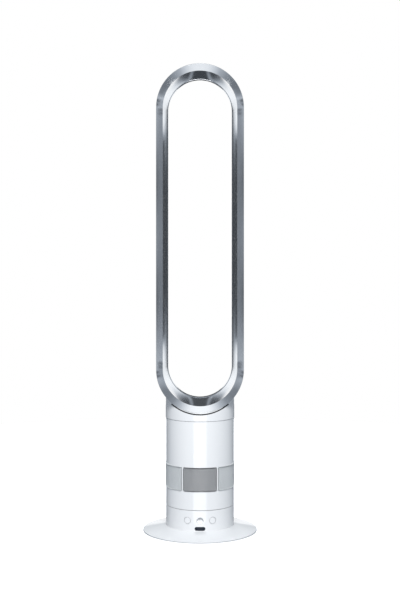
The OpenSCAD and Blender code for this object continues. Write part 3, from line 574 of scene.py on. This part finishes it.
def grilles(front, others):
    """One sheet pierced flat, bent to the body and set into every window."""
    half_wide = PANEL_HALF * BODY_R
    sheet = flat_grille()
    squared_rim(sheet, half_wide, (PANEL_HIGH - PANEL_LOW) / 2)
    only(sheet)
    pierced(sheet)
    edit(sheet)
    bpy.ops.mesh.remove_doubles(threshold=MERGE)
    bpy.ops.mesh.dissolve_degenerate(threshold=MERGE)
    bpy.ops.object.mode_set(mode="OBJECT")
    middle = (PANEL_LOW + PANEL_HIGH) / 2
    for corner in sheet.data.vertices:
        turn = corner.co.x / BODY_R
        corner.co = (BODY_R * math.sin(turn), -BODY_R * math.cos(turn), middle + corner.co.y)
    applied(sheet, "SOLIDIFY", thickness=PANEL_WALL, offset=-1)
    for i in range(PANEL_COUNT):
        grille = sheet.copy()
        grille.data = sheet.data.copy()
        bpy.context.collection.objects.link(grille)
        grille.name = f"inlet_grille_{i + 1}"
        moved(grille, Matrix.Rotation(i * math.tau / PANEL_COUNT, 4, "Z"))
        # The front grille takes the darker finish, a painted shade.
        finished(grille, "turret", "grille_metal", others if i else front, f"inlet_panel_{i + 1}")
    bpy.data.objects.remove(sheet)


# Base: the round plate on its feet, and the fixed casing with its controls
BUTTON_ANGLE = 21.5
BUTTON_R = 6.75 * MM
BUTTON_SINK = 0.05 * MM
BUTTON_GAP = 0.75 * MM
BUTTON_FLANGE = 0.9 * MM
BUTTON_FLANGE_DEPTH = 5 * MM
BUTTON_FLANGE_WALL = 1.4 * MM
BUTTON_STEM_R = 2.5 * MM
BUTTON_STEM_DEPTH = 11.5 * MM
PLATE_WALL = 2.5 * MM
PLATE_RIM = 3 * MM
RIM_ROUND = 1.12 * MM
COVER_STEP = 1.8 * MM
FOOT_R = 8 * MM
FOOT_INSET = 18 * MM
FOOT_RING = PLATE_R - FOOT_INSET
FOOT_SINK = 1 * MM
FOOT_COUNT = 6
DIAL_DISH = 4.6 * MM
DIAL_WALL_SLOPE = 0.5 * MM
DIAL_FLOOR_ROUND = 1.6 * MM
DIAL_DEPTH = 6 * MM
DIAL_RIM = 0.4 * MM
DIAL_STEM_R = 3 * MM
KNOB_ROUND = 0.4 * MM
WINDOW_DEPTH = 1.5 * MM
# Just short of a half circle, so that the two corners of a round end stay apart
END_ROUND_SHARE = 0.999
GLAND_R = 6 * MM
GLAND_FLANGE_R = 8 * MM
GLAND_FLANGE = 2 * MM
GLAND_LENGTH = 12 * MM
GLAND_PLAY = 0.45 * MM
CORD_R = 3.6 * MM


def base_plate(plastic):
    """The shallow round plate, with the sunk deck that the casing stands on."""
    seat = BODY_R + FIT_GAP
    cover = PLATE_R - PLATE_RIM
    plate = turned("round_base_plate", [
        (0, DECK_Z - PLATE_WALL, 0), (BODY_R, DECK_Z - PLATE_WALL, 0),
        (cover - PLATE_RIM, PLATE_LOW + COVER_STEP, 0), (cover, PLATE_LOW + COVER_STEP, 0),
        (cover, PLATE_LOW, 0), (PLATE_R, PLATE_LOW, EDGE_ROUND),
        (PLATE_R, PLATE_LOW + PLATE_RIM, RIM_ROUND), (seat, PLATE_TOP, EDGE_ROUND / 2),
        (seat, DECK_Z, 0), (0, DECK_Z, 0)])
    finished(plate, "base", "white_plastic", plastic, "base_plate")


def rubber_feet(rubber):
    """Round pads in a ring under the plate."""
    foot_top = PLATE_LOW + FOOT_SINK
    feet = []
    for i in range(FOOT_COUNT):
        foot = turned("foot", [(0, 0, 0), (FOOT_R, 0, EDGE_ROUND), (FOOT_R, foot_top, 0),
                               (0, foot_top, 0)], steps=RING_STEPS)
        turn = Matrix.Rotation(i * math.tau / FOOT_COUNT, 4, "Z")
        feet.append(moved(foot, turn @ Matrix.Translation((FOOT_RING, 0, 0))))
    finished(joined("rubber_foot_pads", feet), "base", "rubber", rubber, "rubber_feet")


def round_cutter(angle, height, radius):
    """A cutter through the front or back wall of the casing."""
    cutter = turned("round_cutter", [(0, 0, 0), (radius, 0, 0), (radius, 2 * BODY_R, 0),
                                     (0, 2 * BODY_R, 0)], steps=RING_STEPS)
    return moved(cutter, facing(angle, height))


def pill_corners(half_wide, half_high):
    """Outline of a bar with round ends."""
    signs = ((1, 1), (-1, 1), (-1, -1), (1, -1))
    return [(x * half_wide, y * half_high, half_high * END_ROUND_SHARE) for x, y in signs]


def lower_casing(plastic):
    """The fixed casing, with its openings for the controls, the window and the cord."""
    inner = BODY_R - WALL
    casing = turned("fixed_lower_casing", [
        (inner, DECK_Z, 0), (BODY_R, DECK_Z, 0), (BODY_R, CASING_TOP, EDGE_ROUND),
        (inner, CASING_TOP, 0)])
    for angle in (-BUTTON_ANGLE, BUTTON_ANGLE):
        cut(casing, round_cutter(angle, BUTTON_Z, BUTTON_R + BUTTON_GAP))
    cut(casing, round_cutter(0, BUTTON_Z, DIAL_R + FIT_GAP))
    cut(casing, round_cutter(180, GLAND_Z, GLAND_R + FIT_GAP))
    pill = pill_corners(WINDOW_HALF + FIT_GAP / 2, (WINDOW_HIGH - WINDOW_LOW + FIT_GAP) / 2)
    slot = extruded("window_cutter", pill, 0, 2 * BODY_R)
    cut(casing, moved(slot, facing(0, (WINDOW_LOW + WINDOW_HIGH) / 2)))
    softened(casing, KNOB_ROUND)
    finished(casing, "base", "white_plastic", plastic, "lower_casing")


def pressed_to_body(piece, radius):
    """Bends a piece's outer face back to the round of the body before it is turned to its place."""
    for corner in piece.data.vertices:
        corner.co.z -= radius - math.sqrt(radius ** 2 - corner.co.x ** 2)
    return piece


def push_buttons(plastic):
    """Two round buttons, each with a flange behind the wall and a stem to its switch."""
    flange_r = BUTTON_R + BUTTON_GAP + BUTTON_FLANGE
    flange_low = BODY_R - BUTTON_FLANGE_DEPTH
    flange_top = flange_low + BUTTON_FLANGE_WALL
    stem_end = BODY_R - BUTTON_STEM_DEPTH
    face = BODY_R - BUTTON_SINK
    for name, side, node in (("power_push_button", -1, "power_button"),
                             ("swing_push_button", 1, "swing_button")):
        button = turned(name, [
            (0, stem_end, 0), (BUTTON_STEM_R, stem_end, 0), (BUTTON_STEM_R, flange_low, 0),
            (flange_r, flange_low, 0), (flange_r, flange_top, 0), (BUTTON_R, flange_top, 0),
            (BUTTON_R, face, KNOB_ROUND), (BUTTON_R / 2, face, 0), (0, face, 0)],
            steps=RING_STEPS)
        pressed_to_body(button, face)
        moved(button, facing(side * BUTTON_ANGLE, BUTTON_Z))
        finished(button, node, "white_plastic", plastic, node)


def airflow_dial(plastic):
    """The dial: a disc with a dish in its face, on a stem to its sensor."""
    mouth = DIAL_R - DIAL_RIM
    floor = BODY_R - DIAL_DISH
    dish = [(mouth, BODY_R, DIAL_RIM / 2), (mouth - DIAL_WALL_SLOPE, floor, DIAL_FLOOR_ROUND),
            (DIAL_R / 3, floor - DIAL_RIM / 2, 0), (0, floor - DIAL_RIM / 2, 0)]
    stem_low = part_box("airflow_dial")[1].y
    dial = turned("dished_airflow_dial", [
        (0, -stem_low, 0), (DIAL_STEM_R, -stem_low, 0), (DIAL_STEM_R, BODY_R - DIAL_DEPTH, 0),
        (DIAL_R, BODY_R - DIAL_DEPTH, 0), (DIAL_R, BODY_R, DIAL_RIM / 3)] + dish,
        steps=RING_STEPS)
    moved(pressed_to_body(dial, BODY_R), facing(0, BUTTON_Z))
    finished(dial, "airflow_dial", "white_plastic", plastic, "airflow_dial")


def signal_window(lens):
    """A dark bar with round ends, its face following the casing."""
    half_high = (WINDOW_HIGH - WINDOW_LOW) / 2
    straight = WINDOW_HALF - half_high
    turns = [math.pi / 2 * i / CURVE_STEPS for i in range(CURVE_STEPS + 1)]
    ends = [(straight + half_high * math.sin(a), half_high * math.cos(a)) for a in turns]
    stations = [(-x, h) for x, h in reversed(ends)] + [(0, half_high)] + ends
    bpy.ops.mesh.primitive_grid_add(x_subdivisions=len(stations) - 1, y_subdivisions=1, size=1)
    window = bpy.context.object
    window.name = "signal_window_lens"
    low_row = sorted((v for v in window.data.vertices if v.co.y < 0), key=lambda v: v.co.x)
    high_row = sorted((v for v in window.data.vertices if v.co.y > 0), key=lambda v: v.co.x)
    for (x, half), low, high in zip(stations, low_row, high_row):
        low.co, high.co = (x, -half, BODY_R), (x, half, BODY_R)
    edit(window)
    bpy.ops.mesh.remove_doubles(threshold=MERGE)
    bpy.ops.mesh.extrude_region_move(TRANSFORM_OT_translate={"value": (0, 0, -WINDOW_DEPTH)})
    close()
    softened(window, KNOB_ROUND / 2)
    pressed_to_body(window, BODY_R)
    moved(window, facing(0, (WINDOW_LOW + WINDOW_HIGH) / 2))
    finished(window, "base", "signal_lens", lens, "signal_window")


def cord_gland(rubber):
    """The sleeve of the cord's outlet, with a flange on each side of the wall."""
    flange_in = BODY_R - WALL - GLAND_FLANGE - GLAND_PLAY
    gland = turned("cord_outlet_gland", [
        (CORD_R, BODY_R - GLAND_LENGTH, 0), (GLAND_R, BODY_R - GLAND_LENGTH, EDGE_ROUND),
        (GLAND_R, flange_in, 0), (GLAND_FLANGE_R, flange_in, 0),
        (GLAND_FLANGE_R, flange_in + GLAND_FLANGE, 0), (GLAND_R, flange_in + GLAND_FLANGE, 0),
        (GLAND_R, BODY_R, 0), (GLAND_FLANGE_R, BODY_R, 0),
        (GLAND_FLANGE_R, BODY_R + GLAND_FLANGE, 2 * EDGE_ROUND),
        (CORD_R, BODY_R + GLAND_FLANGE, EDGE_ROUND)], steps=RING_STEPS)
    moved(gland, facing(180, GLAND_Z))
    finished(gland, "base", "grey_plastic", rubber, "cord_gland")


# Finishes
RELIEF_DEPTH = 0.05 * MM
LINE_ROUGHNESS = 0.18
WHITE = (1, 1, 1, 1)


def add(tree, kind, inputs=None, **settings):
    """Adds a shader node; each input is a value or the socket that feeds it."""
    made = tree.nodes.new(kind)
    for key, value in settings.items():
        setattr(made, key, value)
    for key, value in (inputs or {}).items():
        if isinstance(value, bpy.types.NodeSocket):
            tree.links.new(value, made.inputs[key])
        else:
            made.inputs[key].default_value = value
    return made


def group(name, inputs, outputs):
    """An empty shader group with named sockets, its input node and its output node."""
    tree = bpy.data.node_groups.new(name, "ShaderNodeTree")
    for key, kind in inputs:
        tree.interface.new_socket(key, in_out="INPUT", socket_type=f"NodeSocket{kind}")
    for key, kind in outputs:
        tree.interface.new_socket(key, in_out="OUTPUT", socket_type=f"NodeSocket{kind}")
    return tree, tree.nodes.new("NodeGroupInput"), tree.nodes.new("NodeGroupOutput")


def moulded_group():
    """Plastic from a polished or textured mould: faint clouding, fine grain, uneven gloss."""
    tree, given, out = group(
        "moulded_surface",
        [("Colour", "Color"), ("Shade", "Color"), ("Gloss", "Float"), ("Gloss Spread", "Float"),
         ("Grain Size", "Float")],
        [("Colour", "Color"), ("Roughness", "Float"), ("Height", "Float")])
    place = add(tree, "ShaderNodeTexCoord").outputs["Object"]
    cloud = add(tree, "ShaderNodeTexNoise", {"Vector": place, "Scale": 22.0, "Detail": 3.0,
                                             "Roughness": 0.55})
    grain = add(tree, "ShaderNodeTexNoise", {"Vector": place, "Scale": given.outputs["Grain Size"],
                                             "Detail": 2.0, "Roughness": 0.5})
    share = add(tree, "ShaderNodeMapRange", {"Value": cloud.outputs["Fac"], "From Min": 0.3,
                                             "From Max": 0.7})
    colour = add(tree, "ShaderNodeMix", {"Factor": share.outputs["Result"],
                                         "A": given.outputs["Colour"],
                                         "B": given.outputs["Shade"]}, data_type="RGBA")
    spread = add(tree, "ShaderNodeMath", {0: share.outputs["Result"],
                                          1: given.outputs["Gloss Spread"],
                                          2: given.outputs["Gloss"]}, operation="MULTIPLY_ADD")
    tree.links.new(colour.outputs["Result"], out.inputs["Colour"])
    tree.links.new(spread.outputs["Value"], out.inputs["Roughness"])
    tree.links.new(grain.outputs["Fac"], out.inputs["Height"])
    return tree


def flake_group():
    """Metallic paint: tiny bright flakes under a smooth clear surface."""
    tree, given, out = group(
        "paint_flakes",
        [("Colour", "Color"), ("Flake", "Color"), ("Flake Size", "Float"), ("Gloss", "Float"),
         ("Gloss Spread", "Float")],
        [("Colour", "Color"), ("Roughness", "Float"), ("Height", "Float")])
    place = add(tree, "ShaderNodeTexCoord").outputs["Object"]
    flakes = add(tree, "ShaderNodeTexVoronoi", {"Vector": place,
                                                "Scale": given.outputs["Flake Size"]})
    cloud = add(tree, "ShaderNodeTexNoise", {"Vector": place, "Scale": 30.0, "Detail": 2.0})
    apart = add(tree, "ShaderNodeSeparateColor", {"Color": flakes.outputs["Color"]})
    spark = add(tree, "ShaderNodeMapRange", {"Value": apart.outputs["Red"], "From Min": 0.55,
                                             "From Max": 1.0})
    colour = add(tree, "ShaderNodeMix", {"Factor": spark.outputs["Result"],
                                         "A": given.outputs["Colour"],
                                         "B": given.outputs["Flake"]}, data_type="RGBA")
    spread = add(tree, "ShaderNodeMath", {0: cloud.outputs["Fac"],
                                          1: given.outputs["Gloss Spread"],
                                          2: given.outputs["Gloss"]}, operation="MULTIPLY_ADD")
    tree.links.new(colour.outputs["Result"], out.inputs["Colour"])
    tree.links.new(spread.outputs["Value"], out.inputs["Roughness"])
    tree.links.new(cloud.outputs["Fac"], out.inputs["Height"])
    return tree


def brushed_group():
    """Bare metal with fine turning or drawing lines along the body's axis."""
    tree, given, out = group(
        "worked_metal",
        [("Colour", "Color"), ("Stain", "Color"), ("Line Size", "Float"), ("Gloss", "Float")],
        [("Colour", "Color"), ("Roughness", "Float"), ("Height", "Float")])
    place = add(tree, "ShaderNodeTexCoord").outputs["Object"]
    squeezed = add(tree, "ShaderNodeMapping", {"Vector": place, "Scale": (0.1, 0.1, 1.0)})
    lines = add(tree, "ShaderNodeTexNoise", {"Vector": squeezed.outputs["Vector"],
                                             "Scale": given.outputs["Line Size"], "Detail": 3.0})
    stain = add(tree, "ShaderNodeTexNoise", {"Vector": place, "Scale": 60.0, "Detail": 4.0})
    colour = add(tree, "ShaderNodeMix", {"Factor": stain.outputs["Fac"],
                                         "A": given.outputs["Colour"],
                                         "B": given.outputs["Stain"]}, data_type="RGBA")
    rough = add(tree, "ShaderNodeMath", {0: lines.outputs["Fac"], 1: LINE_ROUGHNESS,
                                         2: given.outputs["Gloss"]}, operation="MULTIPLY_ADD")
    tree.links.new(colour.outputs["Result"], out.inputs["Colour"])
    tree.links.new(rough.outputs["Value"], out.inputs["Roughness"])
    tree.links.new(lines.outputs["Fac"], out.inputs["Height"])
    return tree


def finish_from(name, effect, values, bump, constants):
    """A material: one effect group with its own values, feeding a principled surface."""
    material = bpy.data.materials.new(name)
    material.use_nodes = True
    tree = material.node_tree
    surface = tree.nodes["Principled BSDF"]
    used = add(tree, "ShaderNodeGroup", node_tree=effect)
    for key, value in values.items():
        used.inputs[key].default_value = value
    tree.links.new(used.outputs["Colour"], surface.inputs["Base Color"])
    tree.links.new(used.outputs["Roughness"], surface.inputs["Roughness"])
    relief = add(tree, "ShaderNodeBump", {"Height": used.outputs["Height"], "Strength": bump,
                                          "Distance": RELIEF_DEPTH})
    tree.links.new(relief.outputs["Normal"], surface.inputs["Normal"])
    for key, value in constants.items():
        surface.inputs[key].default_value = value
    return material


def plastic_finish(name, colour, shade, gloss, spread=0.06, grain=900.0, bump=0.15, **constants):
    """A moulded plastic, from its colour, a second shade and its gloss."""
    return finish_from(name, moulded, {"Colour": (*colour, 1), "Shade": (*shade, 1),
                                       "Gloss": gloss, "Gloss Spread": spread,
                                       "Grain Size": grain}, bump, constants)


def metal_finish(name, colour, stain, gloss, lines=2500.0, bump=0.2):
    """A bare metal, from its colour, its stains and its gloss."""
    return finish_from(name, worked, {"Colour": (*colour, 1), "Stain": (*stain, 1),
                                      "Line Size": lines, "Gloss": gloss}, bump,
                       {"Metallic": 1.0})


moulded = moulded_group()
flakes = flake_group()
worked = brushed_group()

gloss_white = plastic_finish(
    "gloss_white_shell", (0.78, 0.785, 0.79), (0.765, 0.772, 0.78), gloss=0.05, spread=0.02)
# Painted shade: the plate gets a darker copy of the shell's white, to offset the extra light on its
# upward face.
shaded_plate_white = plastic_finish(
    "gloss_white_plate_shaded", (0.665, 0.675, 0.683), (0.65, 0.661, 0.671), gloss=0.07, spread=0.03)
silver = finish_from(
    "silver_loop_paint", flakes,
    {"Colour": (0.86, 0.87, 0.89, 1), "Flake": (0.92, 0.93, 0.94, 1), "Flake Size": 6000.0,
     "Gloss": 0.08, "Gloss Spread": 0.04}, bump=0.05, constants={"Metallic": 0.97})
# Painted shade: the front grille gets a darker copy of the pierced metal, so it looks darker than
# its neighbours.
shaded_front_metal = plastic_finish(
    "front_inlet_metal_shaded", (0.42, 0.424, 0.432), (0.39, 0.394, 0.402), gloss=0.36, spread=0.08,
    Metallic=0.1)
pierced_metal = plastic_finish(
    "pierced_inlet_metal", (0.71, 0.728, 0.733), (0.67, 0.69, 0.696), gloss=0.34, spread=0.08,
    Metallic=0.15)
# Painted shade: the sheets behind the grilles, near-black behind the front one and grey behind the
# others.
dark_shade_sheet = plastic_finish(
    "shade_sheet_paint_dark", (0.07, 0.071, 0.073), (0.05, 0.051, 0.053), gloss=0.7, spread=0.1,
    grain=2400.0, bump=0.4)
pale_shade_sheet = plastic_finish(
    "shade_sheet_paint_pale", (0.50, 0.51, 0.52), (0.45, 0.46, 0.47), gloss=0.6, spread=0.1,
    grain=2400.0, bump=0.4)
inner_grey = plastic_finish(
    "inner_grey_moulding", (0.36, 0.37, 0.38), (0.31, 0.32, 0.33), gloss=0.45, spread=0.12)
inner_dark = plastic_finish(
    "dark_moulding", (0.035, 0.036, 0.038), (0.05, 0.05, 0.052), gloss=0.42, spread=0.15)
soft_black = plastic_finish(
    "soft_black_rubber", (0.022, 0.022, 0.023), (0.034, 0.033, 0.033), gloss=0.62, spread=0.15,
    grain=1600.0, bump=0.35)
open_foam = plastic_finish(
    "open_cell_foam", (0.03, 0.03, 0.032), (0.015, 0.015, 0.016), gloss=0.9, spread=0.08,
    grain=700.0, bump=1.0)
board_green = plastic_finish(
    "solder_mask_green", (0.012, 0.10, 0.035), (0.02, 0.14, 0.05), gloss=0.3, spread=0.1)
# Painted shade: near-black with little gloss, for the parts seen through the grilles.
painted_shade_black = plastic_finish(
    "shaded_black_moulding", (0.02, 0.02, 0.022), (0.028, 0.028, 0.03), gloss=0.7, spread=0.1,
    **{"Specular IOR Level": 0.1})
dark_lens = plastic_finish(
    "dark_signal_lens", (0.012, 0.017, 0.026), (0.016, 0.022, 0.033), gloss=0.06, spread=0.03,
    bump=0.02, **{"Specular IOR Level": 0.2})
turned_steel = metal_finish("turned_steel", (0.58, 0.59, 0.60), (0.46, 0.47, 0.49), gloss=0.22)
wound_copper = metal_finish(
    "wound_copper", (0.72, 0.36, 0.18), (0.55, 0.25, 0.12), gloss=0.28, lines=9000.0, bump=0.8)

slot_finish = {
    "white_plastic": gloss_white, "silver_paint": silver, "grey_plastic": inner_grey,
    "dark_plastic": inner_dark, "grille_metal": pierced_metal, "rubber": soft_black,
    "steel": turned_steel, "copper": wound_copper, "circuit_board": board_green,
    "signal_lens": dark_lens, "foam": open_foam,
}
# Painted shade: the parts seen through the grilles are painted near-black in place of their own
# finish, for the dark inside of the body.
BEHIND_GRILLES = ("inlet_ring", "impeller_housing", "body_floor", "housing_mounts")
for part in frame["record"]["subparts"]:
    faces = nodes[part["node"]].data.materials
    faces.clear()
    shaded = part["node"] in BEHIND_GRILLES
    faces.append(painted_shade_black if shaded else slot_finish[part["material_slot"]])


# Pieces
loop_pieces(silver)
body_shell(gloss_white)
loop_collar(gloss_white, soft_black)
# The front grille and the sheet behind it take darker finishes, as painted shade.
grilles(shaded_front_metal, pierced_metal)
shade_sheets(dark_shade_sheet, pale_shade_sheet)
base_plate(shaded_plate_white)
rubber_feet(soft_black)
lower_casing(gloss_white)
push_buttons(gloss_white)
airflow_dial(gloss_white)
signal_window(dark_lens)
cord_gland(inner_grey)


# Floor, lights and the surroundings that the paint and the gloss reflect
FLOOR_R = 1.6
FLOOR_GLOW = 0.7
LOOP_MIDDLE = (LOOP_HIGH + LOOP_LOW) / 2
REAR_Y = 0.273
REAR_HALF = (0.16, 0.4)
REAR_DARK_TO = (0.0185, 0.0215)
REAR_ENDS_FROM = (0.0255, 0.031)
REAR_OPEN_FROM = (0.057, 0.062)
STRIP_Y = -1.2
STRIP_HALF = 0.475
STRIP_FULL_SHARE = 0.96
STRIP_SPAN = (-0.25, 0.1)
STRIP_LEVEL = 3.4
AMBIENT_LEVEL = 0.43
ROOM_REAR_LEVEL = 0.15
# How far a reflection points back (+) or forward (-) where the room gives way to the rear
# wall, to the front wall, and to the bright ground seen straight through the hole
REAR_WALL_FROM = (0.3, 0.6)
FRONT_WALL_FROM = (-0.5, -0.8)
THROUGH_BACK = (0.975, 0.985)
THROUGH_UP = (-0.125, -0.115)
# A grey's red and blue against its green, at black and with what white adds to them
RED_SHARE = (0.87, 0.1)
BLUE_SHARE = (1.17, -0.14)

# Brightness of the room and of the front wall, by how steeply a reflection points up
SIDE_LEVELS = [
    (-1, 0.95), (-0.97, 0.90), (-0.91, 0.68), (-0.84, 0.44), (-0.72, 0.29), (-0.58, 0.19),
    (-0.44, 0.165), (-0.25, 0.21), (-0.16, 0.38), (-0.12, 0.5), (-0.095, 0.42), (-0.075, 0.17),
    (-0.058, 0.09), (-0.046, 0.08), (-0.023, 0.19), (0, 0.3), (0.023, 0.19), (0.046, 0.08),
    (0.058, 0.1), (0.07, 0.21), (0.09, 0.36), (0.12, 0.44), (0.23, 0.36), (0.41, 0.2),
    (0.58, 0.195), (0.72, 0.26), (0.84, 0.5), (0.91, 0.8), (0.96, 1.02), (1, 1.1)]
FRONT_LEVELS = [
    (-1, 0.3), (-0.2, 0.36), (-0.13, 0.7), (-0.115, 0.6), (-0.09, 0.36), (-0.075, 0.2),
    (-0.05, 0.12), (-0.023, 0.18), (0, 0.26), (0.023, 0.18), (0.05, 0.12), (0.075, 0.2),
    (0.09, 0.28), (0.115, 0.34), (0.13, 0.4), (0.2, 0.4), (1, 0.3)]
# Brightness of the card behind the fan, by the height above or below the loop's middle:
# in its middle column, and in the columns that the round ends reflect
REAR_LEVELS = [
    (0, 0.052), (0.098, 0.054), (0.139, 0.075), (0.163, 0.105), (0.182, 0.16), (0.213, 0.27),
    (0.235, 0.34), (0.263, 0.45), (0.284, 0.64), (0.299, 0.78), (0.314, 0.98), (0.392, 1.0)]
REAR_END_LEVELS = [
    (0, 0.045), (0.206, 0.045), (0.218, 0.05), (0.226, 0.065), (0.235, 0.11), (0.248, 0.33),
    (0.263, 0.78), (0.279, 1.0), (0.294, 1.05), (0.309, 0.95), (0.392, 0.95)]


def pale_floor():
    """A pale round floor that neither colours nor shows in the object's gloss."""
    bpy.ops.mesh.primitive_circle_add(vertices=RING_STEPS, radius=FLOOR_R, fill_type="NGON")
    floor = bpy.context.object
    floor.name = "pale_floor"
    floor.data.materials.append(plastic_finish(
        "pale_floor_paint", (0.86, 0.87, 0.88), (0.85, 0.86, 0.87), gloss=0.7, spread=0.1,
        grain=60.0, bump=0.02))
    surface = floor.active_material.node_tree.nodes["Principled BSDF"]
    surface.inputs["Emission Color"].default_value = WHITE
    surface.inputs["Emission Strength"].default_value = FLOOR_GLOW
    floor.visible_glossy = False
    floor.visible_diffuse = False


def soft_light(name, place, aim, power, size):
    """A soft box that shows neither to the camera nor in the gloss, aimed at a point."""
    bpy.ops.object.light_add(type="AREA", location=place)
    lamp = bpy.context.object
    lamp.name = name
    lamp.data.energy = power
    lamp.data.shape = "RECTANGLE"
    lamp.data.size, lamp.data.size_y = size
    lamp.rotation_euler = (Vector(aim) - Vector(place)).to_track_quat("-Z", "Y").to_euler()
    lamp.visible_camera = False
    lamp.visible_glossy = False


def ramp(tree, feed, stops):
    """A colour ramp with (place, colour) stops."""
    made = add(tree, "ShaderNodeValToRGB", {"Fac": feed})
    marks = made.color_ramp.elements
    while len(marks) < len(stops):
        marks.new(0.5)
    for mark, (place, colour) in zip(marks, stops):
        mark.position = place
        mark.color = (*colour, 1)
    return made.outputs["Color"]


def bluish(bright):
    """A soft studio grey, bluer where it is darker."""
    red, blue = (share + more * min(bright, 1) for share, more in (RED_SHARE, BLUE_SHARE))
    return bright * red, bright, bright * blue


def fade(tree, value, low, high):
    """0 at one value and 1 at another, with a smooth step between."""
    return add(tree, "ShaderNodeMapRange", {"Value": value, "From Min": low, "From Max": high},
               interpolation_type="SMOOTHSTEP").outputs["Result"]


def card(name, low, high, tone):
    """An upright card that only reflections see; tone gives its glow from (x, z) sockets."""
    bpy.ops.mesh.primitive_plane_add(size=1)
    sheet = bpy.context.object
    sheet.name = name
    size = Vector(high) - Vector(low)
    moved(sheet, Matrix.Translation((Vector(low) + Vector(high)) / 2)
          @ Matrix.Rotation(math.pi / 2, 4, "X") @ Matrix.Diagonal((size.x, size.z, 1, 1)))
    material = bpy.data.materials.new(name)
    material.use_nodes = True
    tree = material.node_tree
    tree.nodes.remove(tree.nodes["Principled BSDF"])
    place = add(tree, "ShaderNodeTexCoord").outputs["Object"]
    apart = add(tree, "ShaderNodeSeparateXYZ", {"Vector": place}).outputs
    glow = add(tree, "ShaderNodeEmission", {"Color": tone(tree, apart["X"], apart["Z"])})
    tree.links.new(glow.outputs["Emission"], tree.nodes["Material Output"].inputs["Surface"])
    sheet.data.materials.append(material)
    for ray in ("camera", "diffuse", "shadow", "transmission"):
        setattr(sheet, f"visible_{ray}", False)


def rear_tone(tree, x, z):
    """Dark behind the fan's middle, bright behind its round ends and out to the sides."""
    rise = add(tree, "ShaderNodeMath", {0: z, 1: LOOP_MIDDLE}, operation="SUBTRACT").outputs[0]
    height = add(tree, "ShaderNodeMath", {0: rise}, operation="ABSOLUTE").outputs[0]
    far = add(tree, "ShaderNodeMath", {0: height, 1: REAR_HALF[1]}, operation="DIVIDE").outputs[0]
    aside = add(tree, "ShaderNodeMath", {0: x}, operation="ABSOLUTE").outputs[0]
    straight, ends = (ramp(tree, far, [(h / REAR_HALF[1], bluish(bright)) for h, bright in levels])
                      for levels in (REAR_LEVELS, REAR_END_LEVELS))
    tone = (*bluish(REAR_LEVELS[0][1]), 1)
    for span, beyond in ((REAR_DARK_TO, straight), (REAR_ENDS_FROM, ends),
                         (REAR_OPEN_FROM, WHITE)):
        tone = add(tree, "ShaderNodeMix", {"Factor": fade(tree, aside, *span), "A": tone,
                                           "B": beyond}, data_type="RGBA").outputs["Result"]
    return tone


def strip_tone(tree, x, z):
    """Even, with soft ends to the sides."""
    aside = add(tree, "ShaderNodeMath", {0: x}, operation="ABSOLUTE").outputs[0]
    return ramp(tree, fade(tree, aside, STRIP_HALF, STRIP_FULL_SHARE * STRIP_HALF),
                [(0, (0, 0, 0)), (1, (STRIP_LEVEL,) * 3)])


def studio():
    """Surroundings: white to the camera, and soft boxes and dark cards to every reflection."""
    world = bpy.data.worlds.new("studio")
    bpy.context.scene.world = world
    world.use_nodes = True
    tree = world.node_tree

    def blend(share, first, second):
        return add(tree, "ShaderNodeMix", {"Factor": share, "A": first, "B": second},
                   data_type="RGBA").outputs["Result"]

    toward = add(tree, "ShaderNodeTexCoord").outputs["Generated"]
    apart = add(tree, "ShaderNodeSeparateXYZ", {"Vector": toward})
    y, z = apart.outputs["Y"], apart.outputs["Z"]
    steep = add(tree, "ShaderNodeMath", {0: z, 1: 0.5, 2: 0.5}, operation="MULTIPLY_ADD")
    side, front = (ramp(tree, steep.outputs[0], [((1 + up) / 2, bluish(bright))
                                                 for up, bright in levels])
                   for levels in (SIDE_LEVELS, FRONT_LEVELS))
    room = blend(fade(tree, y, *REAR_WALL_FROM), side, (*bluish(ROOM_REAR_LEVEL), 1))
    through = add(tree, "ShaderNodeMath", {0: fade(tree, y, *THROUGH_BACK),
                                           1: fade(tree, z, *THROUGH_UP)},
                  operation="MULTIPLY").outputs[0]
    room = blend(through, room, WHITE)
    room = blend(fade(tree, y, *FRONT_WALL_FROM), room, front)
    rays = add(tree, "ShaderNodeLightPath")
    lit = blend(rays.outputs["Is Diffuse Ray"], room, (*bluish(AMBIENT_LEVEL), 1))
    seen = blend(rays.outputs["Is Camera Ray"], lit, WHITE)
    tree.links.new(seen, tree.nodes["Background"].inputs["Color"])
    world.cycles.sampling_method = "NONE"


pale_floor()
card("rear_card", (-REAR_HALF[0], REAR_Y, LOOP_MIDDLE - REAR_HALF[1]),
     (REAR_HALF[0], REAR_Y, LOOP_MIDDLE + REAR_HALF[1]), rear_tone)
card("front_strip", (-STRIP_HALF, STRIP_Y, STRIP_SPAN[0]), (STRIP_HALF, STRIP_Y, STRIP_SPAN[1]),
     strip_tone)
soft_light("key_soft_box", place=(0, -2.2, 2.4), aim=(0, 0, 0.25), power=110, size=(1.2, 1.2))
soft_light("rear_soft_box", place=(0, 2.6, 1.8), aim=(0, 0, 0.3), power=50, size=(1.6, 1.6))
studio()
bpy.context.scene.view_settings.view_transform = "Standard"
